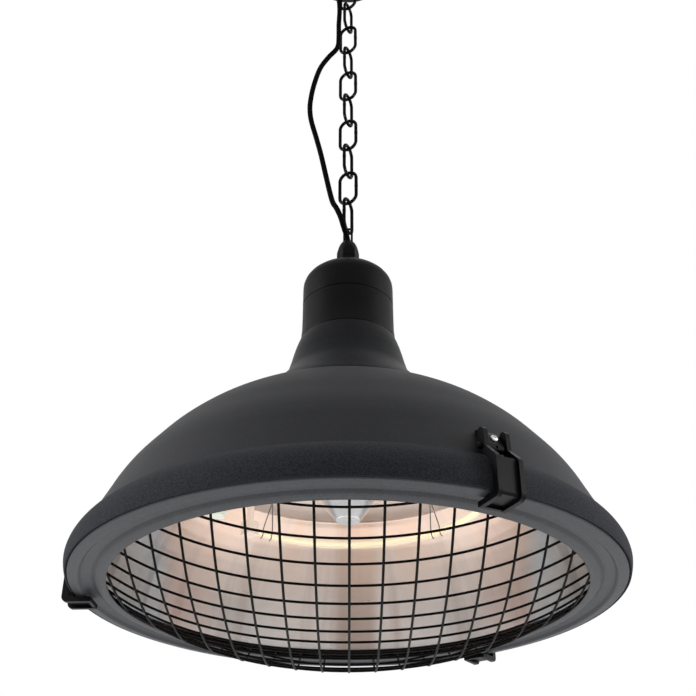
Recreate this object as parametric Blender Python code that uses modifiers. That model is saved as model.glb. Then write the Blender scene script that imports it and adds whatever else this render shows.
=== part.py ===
"""Hanging patio heater: a domed shade on a chain, with a ring lamp behind a domed wire grille.

Units are metres, +Z is up, and the origin is the middle of the ceiling plate's top face. The heater hangs
on the Z axis. Turned profiles are lists of (radius, height) in millimetres, heights counted from the rim,
which is the lower edge of the shade. The run from the loop to the ceiling hook is a welded chain.
"""
import math

import bmesh
import bpy
from mathutils import Matrix, Vector

MM = 0.001

# Driving dimensions
CEILING_TO_RIM = 1.000
TOUCH_GAP = 0.0003
GRILLE_EDGE_RADIUS = 0.250
GRILLE_EDGE_Z = -0.0019
GRILLE_DEPTH = 0.0632
GRILLE_FULLNESS = 0.34
GRILLE_PITCH = 0.030
GRILLE_WIRE = 0.0025
GRILLE_WIRES = 17
GRILLE_SHIFT = (0.0012, 0.0036)
CHAIN_LINKS = 10
CHAIN_PITCH = 0.0468
CHAIN_WIRE = 0.00445
LINK_WIDTH = 0.028
LOWEST_LINK_Z = 0.4952
CHAIN_TURN_DEG = -25.0
LOOP_WIRE = 0.0028
LOOP_HALF_WIDTH = 0.00535
CORD_DIAMETER = 0.007
CORD_STEP = 0.014
LAMP_RADIUS = 0.156
LAMP_HEIGHT = 0.108
LAMP_TUBE = 0.010
LAMP_WALL = 0.0015
FILAMENT_DIAMETER = 0.003
LAMP_GAP_AT_DEG = 240.0
LAMP_END_TURN_DEG = 12.0
LAMP_END_SIZE = (0.014, 0.016, 0.016)
LAMP_POST_RADIUS = 0.004
LAMP_POST_TOP = 0.152
LEAD_DIAMETER = 0.003
LEAD_HOLE_RADIUS = 0.0046
CLIP_ANGLES_DEG = (44.0, 136.0, 220.0, 316.0)
CLIP_WIRE = 0.0014
TERMINAL_BRACKET_SIZE = (0.100, 0.024, 0.002)
TERMINAL_BRACKET_TOP = 218.7
TERMINAL_BLOCK_SIZE = (0.040, 0.020, 0.018)
LATCH_AZIMUTHS_DEG = (27.0, -93.0, 145.0)
PIN_PLACE = (277.0, 39.5)
SCREW_PLACE = (277.45, 48.85)
MARK_PLACE = (281.3, 39.5)
DOME_NORMAL = (0.90, 0.436)

# Steps round the turned pieces
WIDE_STEPS = 36
REFLECTOR_STEPS = 28
NECK_STEPS = 24
SMALL_STEPS = 18

# Profiles, in millimetres: radius, height above the rim
SHADE_PROFILE = [(45, 212.5), (88, 208.3), (104, 203.5), (122, 195.6), (143, 184), (166, 170.5),
                 (188.5, 154), (210, 134), (229, 111.3), (246, 87.8), (258.5, 64), (273.5, 33.6), (280.5, 27.6),
                 (286.4, 19.4), (290, 9), (287.8, -4.3)]
SHADE_WALL = 2.0
FRAME_PROFILE = [(285.2, -0.3), (285.2, -4.9), (275, -7.1), (271.6, -3.9), (268, -3.0), (263, -3.0),
                 (258, -5.6), (252, -7.8), (246.8, -7.9), (246.3, -7.2), (250, -4.5), (256.8, -4.2), (257.2, -0.3)]
GASKET_PROFILE = [(284.8, 3.1), (284.8, 0), (259, 0), (259, 3.1)]
SEAT_PROFILE = [(286.6, 5.9), (286.6, 3.4), (262, 3.4), (262, 5.9)]
REFLECTOR_PROFILE = [(0, 75), (13, 75), (61, 139), (68, 145.5), (178, 145.5), (181, 141.5), (197, 131),
                     (219, 108), (235, 84), (246, 59), (258.5, 6.2), (280, 6.2)]
REFLECTOR_WALL = 1.0
SHIELD_PROFILE = [(146, 166), (146, 160), (20, 160), (20, 161.2), (144.8, 161.2), (144.8, 166)]
SPACER_PROFILE = [(4, 159.7), (4, 146.8), (2, 146.8), (2, 159.7)]
SPACER_RING = 110.0
LEAD_HOLE_HEIGHT = 146
LEAD_HOLE_DEPTH = 0.010
CAP_PROFILE = [(17.5, 405), (24, 404.8), (36, 401), (45.5, 395), (51, 389.6), (54, 383), (55, 375),
               (55, 350.5), (51.6, 350.5), (51.6, 343.5), (48.8, 343.5), (48.8, 376), (40, 389), (17, 399.8),
               (9.9, 399.8), (9.9, 405)]
COLLAR_PROFILE = [(55, 350.2), (55, 312), (56.5, 300.3), (55.9, 299.5), (51.2, 299.5), (51.2, 292),
                  (48.4, 292), (48.4, 342.8), (52, 342.8), (52, 350.2)]
SKIRT_PROFILE = [(56.6, 299.2), (57.6, 297.6), (60.8, 285), (64.8, 266), (67.4, 254.8), (73, 243.8),
                 (87.5, 228), (102, 215.5), (105.4, 210.5), (105.4, 203.6), (88.5, 208.7), (44.6, 212.9),
                 (44.6, 198), (40.6, 198), (40.6, 216.4), (86, 212.6), (90, 217.5), (70, 239.5), (60.6, 266),
                 (56.6, 286), (51.6, 291.5), (51.6, 299.2)]
RING_NUT_PROFILE = [(57, 209.3), (57, 202.5), (44.9, 202.5), (44.9, 210)]
NUT_PROFILE = [(7.8, 450), (9, 448.6), (10.9, 445), (12.6, 439.4), (13.9, 433.8), (14.5, 428.5), (14.5, 425.8),
               (13.6, 424.8), (9.8, 424.8), (9.8, 443.4), (7.1, 443.4), (7.1, 450)]
BODY_PROFILE = [(0, 440.9), (9.4, 440.9), (9.4, 424.4), (13.6, 424.4), (14.5, 423.4), (14.5, 405.3), (9.6, 405.3),
                (9.6, 391), (0, 391)]
LOCK_NUT_PROFILE = [(16.8, 399.5), (16.8, 394.5), (9.9, 394.5), (9.9, 399.5)]
HEX_ACROSS_FLATS = 25.0
LOCK_ACROSS_FLATS = 30.0
HEX_BLANK_DEPTH = 0.090
HEX_BLANK_CENTRE = 430
LOCK_BLANK_DEPTH = 0.030
LOCK_BLANK_CENTRE = 397
STEM_PROFILE = [(6.6, 451.4), (6.6, 443.1), (8.8, 443.1), (8.8, 441.3), (5.9, 441.3), (5.9, 451.4)]
PLATE_PROFILE = [(0, 1000), (52, 1000), (52, 997), (0, 997)]
CANOPY_PROFILE = [(58, 999.4), (58, 974.5), (54.5, 968.8), (3.2, 968), (3.2, 969.5), (53.5, 970.3),
                  (56.5, 975.2), (56.5, 999.4)]
CANOPY_NUT_PROFILE = [(7, 967.7), (7, 964), (2.8, 964), (2.8, 967.7)]
GRIP_PROFILE = [(0, 972), (5, 972), (5, 967.6), (8, 967.6), (6.4, 960), (0, 960)]
GRIP_PLACE = (-0.027, -0.003)
GRIP_HOLE_RADIUS = 0.0053
GRIP_HOLE_DEPTH = 0.012
CANOPY_FLOOR = 969

# Latch outlines, in millimetres: distance from the heater's axis, height above the rim
LEVER_WALL = [(274.8, 57.5), (278.8, 57.5), (281.6, 55), (282.4, 50), (282.8, 38.5), (285.5, 35),
              (296, 25), (297.6, 22), (297.6, -8.5), (296.2, -11.6), (293, -13.4), (266.3, -13.4),
              (266.3, -8.2), (288.6, -8.2), (291.5, -5.6), (291.5, 9), (290.4, 15.6), (287.9, 21),
              (279.4, 31.4), (275.8, 36.5), (273.6, 40), (272.6, 46), (272.4, 52), (273.1, 55.8)]
LEVER_PLATE = [(291.7, 24), (294.5, 24), (294.5, -8), (292.8, -10.2), (269.6, -10.2), (269.6, -13),
               (266.5, -13), (266.5, -8.4), (288.5, -8.4), (291.7, -5.5)]
LEVER_WALL_WIDTH = 4.5
LEVER_WALL_CENTRE = 11.4
LEVER_PLATE_WIDTH = 18.7
BRACKET_OUTLINE = [(262.2, 63.3), (272.6, 56.6), (275.5, 52.9), (279.4, 44.8), (280.6, 42.2), (281.3, 39.5),
                   (280.3, 36.7), (277, 35.2), (274.4, 36.6), (271.6, 40.4), (266.5, 48.8), (259.9, 62.2)]
BRACKET_WIDTH = 15.2
PIN_PROFILE = [(0, 17.6), (2.8, 17.6), (2.8, 13.95), (1.6, 13.95), (1.6, -13.95), (2.8, -13.95), (2.8, -17.6),
               (0, -17.6)]
PIN_HOLE_RADIUS = 1.9
PIN_DRILL_LENGTH = 0.040
SCREW_PROFILE = [(0, 2.4), (2.4, 2.2), (3.6, 0.9), (3.6, 0.3), (1.9, 0.3), (1.9, -13.5), (0, -13.5)]
SCREW_HOLE_RADIUS = 2.2
SCREW_DRILL_LENGTH = 0.036
SCREW_SLOT_SIZE = (0.0036, 0.0009, 0.0024)
MARK_HOLE_RADIUS = 1.3
MARK_HOLE_DEPTH = 0.0014

# Route points of the cord, in millimetres: x, y, height above the rim, chosen by hand
CORD_LOWER_ROUTE = [(0.89, 1.9, 441.3), (0.89, 1.9, 443.5), (0.54, 1.15, 448.8), (-0.5, -1.07, 455.1),
                    (-2.15, -4.61, 460.7), (-6.43, -13.77, 470.6), (-9.8, -16.6, 481.5), (-14.8, -16.8, 494.5),
                    (-20.6, -15, 509), (-28.3, -13.5, 548), (-35.6, -12.5, 587.5), (-42.6, -12, 619.4),
                    (-49.8, -12, 650), (-52.2, -12, 671), (-51.6, -12, 690), (-47.6, -11.5, 719),
                    (-39.4, -10, 753.5), (-27.6, -7.6, 779), (-17.8, -5, 796), (-14.3, -3.7, 808),
                    (-13.5, -3, 824), (-13.5, -3, 839.8)]
CORD_UPPER_ROUTE = [(-13.5, -3, 840.2), (-13.5, -3, 852), (-12.9, -3, 868), (-12.5, -3, 884), (-13.4, -3, 902),
                    (-17, -3, 919), (-23.6, -3, 936), (-27, -3, 950), (-27, -3, 959.7)]


def clear_scene():
    """Remove every object that is already in the file."""
    for obj in list(bpy.data.objects):
        bpy.data.objects.remove(obj, do_unlink=True)


def collection(name, hidden=False):
    """Make a collection under the scene's own."""
    made = bpy.data.collections.new(name)
    bpy.context.scene.collection.children.link(made)
    made.hide_render = hidden
    return made


def finish(name, colour, roughness, metallic):
    """Make a Principled material."""
    made = bpy.data.materials.new(name)
    made.use_nodes = True
    shader = made.node_tree.nodes["Principled BSDF"]
    shader.inputs["Base Color"].default_value = (*colour, 1.0)
    shader.inputs["Roughness"].default_value = roughness
    shader.inputs["Metallic"].default_value = metallic
    made.diffuse_color = (*colour, 1.0)
    return made


clear_scene()
PARTS = collection("hanging_patio_heater")
CUTTERS = collection("cutters", hidden=True)
BLACK_COAT = finish("black_powder_coat", (0.040, 0.041, 0.044), 0.62, 0.0)
FRAME_COAT = finish("frame_powder_coat", (0.065, 0.066, 0.069), 0.55, 0.0)
GLAND_BLACK = finish("gland_black", (0.022, 0.022, 0.024), 0.45, 0.0)
CHAIN_BLACK = finish("chain_black", (0.020, 0.020, 0.021), 0.50, 0.0)
CORD_BLACK = finish("cord_black", (0.018, 0.018, 0.019), 0.60, 0.0)
ZINC = finish("zinc_plate", (0.72, 0.73, 0.74), 0.30, 1.0)
ALUMINIUM = finish("bright_aluminium", (0.86, 0.83, 0.81), 0.28, 1.0)
LAMP_GLASS = finish("lamp_glass", (0.98, 0.86, 0.62), 0.15, 0.0)
ELEMENT = finish("hot_element", (1.0, 0.72, 0.35), 0.40, 0.0)
CERAMIC = finish("ceramic", (0.86, 0.84, 0.80), 0.50, 0.0)
SPRING_STEEL = finish("spring_steel", (0.46, 0.44, 0.42), 0.35, 1.0)
GASKET_GREY = finish("gasket_silicone", (0.10, 0.10, 0.10), 0.80, 0.0)


def add(name, data, material, parent=None, matrix=None):
    """Put a named object with its own material into the part's collection."""
    obj = bpy.data.objects.new(name, data)
    PARTS.objects.link(obj)
    if matrix is not None:
        obj.matrix_world = matrix
    own = material.copy()
    own.name = name + "_finish"
    data.materials.clear()
    data.materials.append(own)
    hang(obj, parent)
    return obj


def add_shared(name, data, parent=None, matrix=None):
    """Put another object that shares a finished mesh into the part's collection."""
    obj = bpy.data.objects.new(name, data)
    PARTS.objects.link(obj)
    if matrix is not None:
        obj.matrix_world = matrix
    hang(obj, parent)
    return obj


def hang(obj, parent):
    """Parent an object to a pivot without moving it."""
    if parent is not None:
        bpy.context.view_layer.update()
        obj.parent = parent
        obj.matrix_parent_inverse = parent.matrix_world.inverted()


def pivot(name, place, parent=None):
    """An empty on a joint's axis."""
    made = bpy.data.objects.new(name, None)
    made.empty_display_size = 0.02
    made.matrix_world = Matrix.Translation(place)
    PARTS.objects.link(made)
    hang(made, parent)
    return made


def as_cutter(obj):
    """Move a helper object to the cutters."""
    for user in list(obj.users_collection):
        user.objects.unlink(obj)
    CUTTERS.objects.link(obj)
    obj.hide_render = True
    obj.display_type = "WIRE"
    return obj


def profile_object(name, points, steps, from_rim=True):
    """A profile with a Screw modifier round the Z axis; it closes on itself unless it ends on the axis."""
    lift = CEILING_TO_RIM if from_rim else 0.0
    verts = [(r * MM, 0.0, z * MM - lift) for r, z in points]
    edges = [(i, i + 1) for i in range(len(points) - 1)]
    on_axis = points[0][0] == 0 or points[-1][0] == 0
    if not on_axis:
        edges.append((len(points) - 1, 0))
    mesh = bpy.data.meshes.new(name)
    mesh.from_pydata(verts, edges, [])
    obj = bpy.data.objects.new(name, mesh)
    PARTS.objects.link(obj)
    add_screw(obj, steps)
    return obj


def add_screw(obj, steps):
    """Turn an object's profile once round its Z axis."""
    screw = obj.modifiers.new("turn", "SCREW")
    screw.axis = "Z"
    screw.angle = 2.0 * math.pi
    screw.steps = steps
    screw.render_steps = steps
    screw.use_merge_vertices = True
    screw.merge_threshold = 0.00001
    screw.use_smooth_shade = True


def turned(name, points, steps, material, parent=None):
    """A turned piece that keeps its Screw modifier."""
    obj = profile_object(name, points, steps)
    obj.data.materials.append(material.copy())
    obj.data.materials[0].name = name + "_finish"
    hang(obj, parent)
    return obj


def shell(name, points, wall, steps, material, inward, parent=None):
    """A thin turned shell: an open profile, turned, with Solidify for its wall."""
    verts = [(r * MM, 0.0, z * MM - CEILING_TO_RIM) for r, z in points]
    edges = [(i, i + 1) for i in range(len(points) - 1)]
    mesh = bpy.data.meshes.new(name)
    mesh.from_pydata(verts, edges, [])
    obj = bpy.data.objects.new(name, mesh)
    PARTS.objects.link(obj)
    add_screw(obj, steps)
    solidify = obj.modifiers.new("wall", "SOLIDIFY")
    solidify.thickness = wall * MM
    solidify.offset = -1.0 if inward else 1.0
    solidify.use_even_offset = True
    mesh.materials.append(material.copy())
    mesh.materials[0].name = name + "_finish"
    hang(obj, parent)
    return obj


def baked(obj):
    """The evaluated mesh of an object, in its own space, with its doubles merged; the object is removed."""
    bpy.context.view_layer.update()
    graph = bpy.context.evaluated_depsgraph_get()
    mesh = bpy.data.meshes.new_from_object(obj.evaluated_get(graph))
    bm = bmesh.new()
    bm.from_mesh(mesh)
    bmesh.ops.remove_doubles(bm, verts=bm.verts[:], dist=0.000002)
    bm.to_mesh(mesh)
    bm.free()
    name = obj.name
    bpy.data.objects.remove(obj, do_unlink=True)
    mesh.name = name
    return mesh


def boolean(obj, other, operation):
    """Cut or join an object with a helper that then sits among the cutters."""
    as_cutter(other)
    modifier = obj.modifiers.new(operation.lower(), "BOOLEAN")
    modifier.operation = operation
    modifier.solver = "EXACT"
    modifier.object = other


def wire(name, points, diameter, bevel_resolution=2, cyclic=False):
    """A round wire, rod or cord along points, as a bevelled POLY curve with filled caps."""
    curve = bpy.data.curves.new(name, "CURVE")
    curve.dimensions = "3D"
    curve.bevel_depth = diameter / 2.0
    curve.bevel_resolution = bevel_resolution
    curve.use_fill_caps = not cyclic
    spline = curve.splines.new("POLY")
    spline.points.add(len(points) - 1)
    for point, place in zip(spline.points, points):
        point.co = (*place, 1.0)
    spline.use_cyclic_u = cyclic
    spline.use_smooth = True
    return curve


def loose(name, data, matrix=None):
    """An object without a material, for joining into another piece."""
    obj = bpy.data.objects.new(name, data)
    PARTS.objects.link(obj)
    if matrix is not None:
        obj.matrix_world = matrix
    return obj


def mesh_of_curve(curve, name):
    """A curve made a closed mesh."""
    return baked(loose(name, curve))


def prism(name, radius, depth, sides, turn=0.0):
    """A straight prism or cylinder round Z, centred on its own origin."""
    mesh = bpy.data.meshes.new(name)
    bm = bmesh.new()
    bmesh.ops.create_cone(bm, cap_ends=True, segments=sides, radius1=radius, radius2=radius, depth=depth,
                          matrix=Matrix.Rotation(turn, 4, "Z"))
    bm.to_mesh(mesh)
    bm.free()
    return mesh


def box(name, size):
    """A box centred on its own origin."""
    mesh = bpy.data.meshes.new(name)
    bm = bmesh.new()
    bmesh.ops.create_cube(bm, size=1.0, matrix=Matrix.Diagonal((*size, 1.0)))
    bm.to_mesh(mesh)
    bm.free()
    return mesh


def outline_plate(name, points, width, centre_y=0.0):
    """A plate whose outline lies in the local XZ plane, in millimetres, and whose width runs along Y."""
    curve = bpy.data.curves.new(name, "CURVE")
    curve.dimensions = "2D"
    curve.fill_mode = "BOTH"
    curve.extrude = width * MM / 2.0
    spline = curve.splines.new("POLY")
    spline.points.add(len(points) - 1)
    for point, (x, z) in zip(spline.points, points):
        point.co = (x * MM, z * MM, 0.0, 1.0)
    spline.use_cyclic_u = True
    mesh = mesh_of_curve(curve, name)
    mesh.transform(Matrix.Translation((0.0, centre_y * MM, 0.0)) @ Matrix.Rotation(math.pi / 2.0, 4, "X"))
    mesh.update()
    return mesh


def smooth_route(route, step):
    """Points on a Catmull-Rom curve through a route in millimetres from the rim; its end runs stay straight."""
    knots = [Vector((x, y, z)) * MM - Vector((0.0, 0.0, CEILING_TO_RIM)) for x, y, z in route]
    points = [knots[0]]
    for a, b, c, d in zip(knots, knots[1:], knots[2:], knots[3:]):
        pieces = max(1, round((c - b).length / step))
        for i in range(pieces):
            t = i / pieces
            points.append(0.5 * (2.0 * b + (c - a) * t + (2.0 * a - 5.0 * b + 4.0 * c - d) * t * t
                                 + (3.0 * b - 3.0 * c + d - a) * t ** 3))
    points += knots[-2:]
    length = sum((q - p).length for p, q in zip(points, points[1:]))
    return points, length


def rim(z_mm):
    """World height of a height above the rim in millimetres."""
    return z_mm * MM - CEILING_TO_RIM


def chain_axes():
    """Directions across the wide links and across the edge-on links."""
    turn = math.radians(CHAIN_TURN_DEG)
    wide = Vector((math.cos(turn), math.sin(turn), 0.0))
    edge = Vector((math.sin(turn), -math.cos(turn), 0.0))
    return wide, edge


WIDE, EDGE = chain_axes()
LINK_LENGTH = CHAIN_PITCH + TOUCH_GAP + 2.0 * CHAIN_WIRE
LINK_HALF_WIDTH = (LINK_WIDTH - CHAIN_WIRE) / 2.0
LINK_STRAIGHT = (LINK_LENGTH - LINK_WIDTH) / 2.0
TOP_LINK_Z = LOWEST_LINK_Z + (CHAIN_LINKS - 1) * CHAIN_PITCH - CEILING_TO_RIM
HOOK_WIRE = 0.005
HOOK_RADIUS = 0.0095
HOOK_BAR_Z = TOP_LINK_Z + LINK_LENGTH / 2.0 - CHAIN_WIRE - TOUCH_GAP - HOOK_WIRE / 2.0
LOOP_BAR_Z = LOWEST_LINK_Z - CEILING_TO_RIM - LINK_LENGTH / 2.0 + CHAIN_WIRE + TOUCH_GAP + LOOP_WIRE / 2.0

CHAIN_PIVOT = pivot("chain_pivot", (0.0, 0.0, HOOK_BAR_Z))
HEATER_PIVOT = pivot("heater_pivot", (0.0, 0.0, LOOP_BAR_Z), CHAIN_PIVOT)


def make_ceiling_fitting():
    """Ceiling plate, canopy cup and its nut, J-shaped hook and cord grip."""
    turned("ceiling_plate", PLATE_PROFILE, NECK_STEPS, ZINC)
    canopy = turned("canopy_cup", CANOPY_PROFILE, NECK_STEPS, BLACK_COAT)
    hole = loose("grip_hole", prism("grip_hole", GRIP_HOLE_RADIUS, GRIP_HOLE_DEPTH, 16),
                 Matrix.Translation((*GRIP_PLACE, rim(CANOPY_FLOOR))))
    boolean(canopy, hole, "DIFFERENCE")
    turned("canopy_nut", CANOPY_NUT_PROFILE, 16, BLACK_COAT)
    grip = turned("cord_grip", GRIP_PROFILE, 16, GLAND_BLACK)
    grip.location = (*GRIP_PLACE, 0.0)
    make_hook()


def make_hook():
    """The hook's rod: a stem, a bend to one side and a round bottom that carries the top link."""
    centre_z = HOOK_BAR_Z + HOOK_RADIUS
    side = [(0.0, rim(996.6)), (0.0, rim(975)), (0.0, rim(962)), (0.0022, rim(957)), (0.0068, rim(952.5))]
    bend_steps = 9
    start = math.radians(-10.0)
    end = math.radians(195.0)
    for i in range(bend_steps + 1):
        angle = start + (end - start) * i / bend_steps
        side.append((HOOK_RADIUS * math.cos(angle), centre_z - HOOK_RADIUS * math.sin(angle)))
    points = [EDGE * out + Vector((0.0, 0.0, z)) for out, z in side]
    add("ceiling_hook", wire("ceiling_hook", points, HOOK_WIRE), BLACK_COAT)


def link_points():
    """Centre line of one link in its own XY plane, its length along X."""
    points = []
    bend_steps = 4
    for side in (1.0, -1.0):
        for i in range(bend_steps + 1):
            angle = -math.pi / 2.0 + math.pi * i / bend_steps
            x = side * (LINK_STRAIGHT + LINK_HALF_WIDTH * math.cos(angle))
            y = side * LINK_HALF_WIDTH * math.sin(angle)
            points.append((x, y, 0.0))
    return points


def make_chain():
    """Links that stand on the heater's axis, each a quarter turn from the next."""
    mesh = mesh_of_curve(wire("chain_link", link_points(), CHAIN_WIRE, 1, cyclic=True), "chain_link")
    mesh.shade_smooth()
    mesh.materials.append(CHAIN_BLACK)
    for index in range(CHAIN_LINKS):
        across = WIDE if index % 2 else EDGE
        normal = Vector((0.0, 0.0, 1.0)).cross(across)
        place = Matrix((
            (0.0, across.x, normal.x, 0.0),
            (0.0, across.y, normal.y, 0.0),
            (1.0, 0.0, 0.0, LOWEST_LINK_Z + index * CHAIN_PITCH - CEILING_TO_RIM),
            (0.0, 0.0, 0.0, 1.0)))
        add_shared("chain_link_%02d" % (index + 1), mesh, CHAIN_PIVOT, place)


def make_gland():
    """Suspension loop, cap nut, body and lock nut of the cable gland."""
    hex_turn = math.radians(CHAIN_TURN_DEG)
    corner = HEX_ACROSS_FLATS * MM / math.sqrt(3.0)
    blank = Matrix.Translation((0.0, 0.0, rim(HEX_BLANK_CENTRE)))
    nut = turned("gland_nut", NUT_PROFILE, SMALL_STEPS, GLAND_BLACK, HEATER_PIVOT)
    boolean(nut, loose("nut_hex", prism("nut_hex", corner, HEX_BLANK_DEPTH, 6, hex_turn), blank), "INTERSECT")
    body = turned("gland_body", BODY_PROFILE, SMALL_STEPS, GLAND_BLACK, HEATER_PIVOT)
    boolean(body, loose("body_hex", prism("body_hex", corner, HEX_BLANK_DEPTH, 6, hex_turn), blank), "INTERSECT")
    lock = turned("gland_lock_nut", LOCK_NUT_PROFILE, SMALL_STEPS, GLAND_BLACK, HEATER_PIVOT)
    lock_corner = LOCK_ACROSS_FLATS * MM / math.sqrt(3.0)
    boolean(lock, loose("lock_hex", prism("lock_hex", lock_corner, LOCK_BLANK_DEPTH, 6),
                        Matrix.Translation((0.0, 0.0, rim(LOCK_BLANK_CENTRE)))), "INTERSECT")
    make_loop()


def make_loop():
    """An upside-down U of wire joined to the hollow stem that the cord leaves by."""
    foot_z = rim(447)
    centre_z = LOOP_BAR_Z - LOOP_HALF_WIDTH
    side = [(LOOP_HALF_WIDTH, foot_z), (LOOP_HALF_WIDTH, centre_z)]
    bend_steps = 6
    for i in range(1, bend_steps):
        angle = math.pi * i / bend_steps
        side.append((LOOP_HALF_WIDTH * math.cos(angle), centre_z + LOOP_HALF_WIDTH * math.sin(angle)))
    side += [(-LOOP_HALF_WIDTH, centre_z), (-LOOP_HALF_WIDTH, foot_z)]
    points = [WIDE * across + Vector((0.0, 0.0, z)) for across, z in side]
    bow = loose("loop_bow", mesh_of_curve(wire("loop_bow", points, LOOP_WIRE, 1), "loop_bow"))
    stem = profile_object("suspension_loop", STEM_PROFILE, SMALL_STEPS)
    boolean(stem, bow, "UNION")
    add("suspension_loop", baked(stem), GLAND_BLACK, HEATER_PIVOT)


def make_neck():
    """Cap, collar, flared skirt and the ring nut that clamps them to the shade."""
    turned("neck_cap", CAP_PROFILE, NECK_STEPS, BLACK_COAT, HEATER_PIVOT)
    turned("neck_collar", COLLAR_PROFILE, NECK_STEPS, BLACK_COAT, HEATER_PIVOT)
    turned("neck_skirt", SKIRT_PROFILE, NECK_STEPS, BLACK_COAT, HEATER_PIVOT)
    turned("neck_ring_nut", RING_NUT_PROFILE, NECK_STEPS, ZINC, HEATER_PIVOT)


def latch_frame(azimuth_deg):
    """Matrix from latch coordinates, X outwards and Z from the rim, to the world."""
    turn = Matrix.Rotation(math.radians(azimuth_deg - 90.0), 4, "Z")
    return Matrix.Translation((0.0, 0.0, -CEILING_TO_RIM)) @ turn


def along_dome_normal(place_mm):
    """Matrix that stands a Z-axis piece on the dome's slope at a latch place."""
    tilt = math.atan2(DOME_NORMAL[0], DOME_NORMAL[1])
    return Matrix.Translation((place_mm[0] * MM, 0.0, place_mm[1] * MM)) @ Matrix.Rotation(tilt, 4, "Y")


def make_shade():
    """Pressed dome with its flange, and a hole for each latch's screw."""
    shade = shell("main_shade", SHADE_PROFILE, SHADE_WALL, WIDE_STEPS, BLACK_COAT, True, HEATER_PIVOT)
    for index, azimuth in enumerate(LATCH_AZIMUTHS_DEG, start=1):
        drill = loose("shade_drill_%d" % index, prism("shade_drill", SCREW_HOLE_RADIUS * MM, SCREW_DRILL_LENGTH, 10),
                      latch_frame(azimuth) @ along_dome_normal(SCREW_PLACE))
        boolean(shade, drill, "DIFFERENCE")


def make_frame():
    """Frame ring under the flange, its gasket and the seat ring inside the flange."""
    turned("seat_ring", SEAT_PROFILE, WIDE_STEPS, BLACK_COAT, HEATER_PIVOT)
    turned("frame_gasket", GASKET_PROFILE, WIDE_STEPS, GASKET_GREY, HEATER_PIVOT)
    turned("frame_ring", FRAME_PROFILE, WIDE_STEPS, FRAME_COAT, HEATER_PIVOT)


def grille_height(radius):
    """Height of the grille's sheet above the rim: a dome that hangs down in the middle."""
    share = min(radius / GRILLE_EDGE_RADIUS, 1.0) ** 2
    return GRILLE_EDGE_Z - GRILLE_DEPTH * (1.0 - share) * (1.0 + GRILLE_FULLNESS * share)


def make_grille():
    """Square wire net: a disc cut along every wire, lifted to its dome, then made wires."""
    rim_sides = 72
    merge = 0.007
    bm = bmesh.new()
    bmesh.ops.create_circle(bm, cap_ends=True, segments=rim_sides, radius=GRILLE_EDGE_RADIUS)
    half = GRILLE_WIRES // 2
    for normal, shift in zip((Vector((1, 0, 0)), Vector((0, 1, 0))), GRILLE_SHIFT):
        for k in range(-half, half + 1):
            geometry = bm.verts[:] + bm.edges[:] + bm.faces[:]
            bmesh.ops.bisect_plane(bm, geom=geometry, dist=0.000001, plane_no=normal,
                                   plane_co=normal * (k * GRILLE_PITCH + shift))
    plain = [v for v in bm.verts if v.is_boundary and len(v.link_edges) == 2]
    bmesh.ops.dissolve_verts(bm, verts=plain)
    bmesh.ops.remove_doubles(bm, verts=bm.verts[:], dist=merge)
    for vert in bm.verts:
        vert.co.z = grille_height(vert.co.xy.length) - CEILING_TO_RIM
    bmesh.ops.recalc_face_normals(bm, faces=bm.faces[:])
    mesh = bpy.data.meshes.new("grille_mesh")
    bm.to_mesh(mesh)
    bm.free()
    grille = add("grille_mesh", mesh, FRAME_COAT, HEATER_PIVOT)
    wires = grille.modifiers.new("wires", "WIREFRAME")
    wires.thickness = GRILLE_WIRE
    wires.offset = 0.0
    wires.use_even_offset = True
    wires.use_boundary = True
    wires.use_replace = True


def ring_point(angle_deg, radius, z):
    """Point on a circle round the heater's axis; 0 degrees is -Y, turning towards +X."""
    angle = math.radians(angle_deg)
    return Vector((radius * math.sin(angle), -radius * math.cos(angle), z))


def lamp_end_angles():
    """Number and angle of each end of the lamp."""
    return [(1, LAMP_GAP_AT_DEG - LAMP_END_TURN_DEG), (2, LAMP_GAP_AT_DEG + LAMP_END_TURN_DEG)]


def make_reflector():
    """Spun reflector with a central cone, the heat shield above it and its spacers."""
    reflector = shell("reflector", REFLECTOR_PROFILE, REFLECTOR_WALL, REFLECTOR_STEPS, ALUMINIUM, False, HEATER_PIVOT)
    for index, angle in lamp_end_angles():
        drill = loose("lead_drill_%d" % index, prism("lead_drill", LEAD_HOLE_RADIUS, LEAD_HOLE_DEPTH, 12),
                      Matrix.Translation(ring_point(angle, LAMP_RADIUS, rim(LEAD_HOLE_HEIGHT))))
        boolean(reflector, drill, "DIFFERENCE")
    turned("heat_shield", SHIELD_PROFILE, NECK_STEPS, ALUMINIUM, HEATER_PIVOT)
    for index in range(3):
        spacer = turned("shield_spacer_%d" % (index + 1), SPACER_PROFILE, 10, ZINC)
        spacer.location = ring_point(120.0 * index + 60.0, SPACER_RING * MM, 0.0)
        hang(spacer, HEATER_PIVOT)


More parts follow.
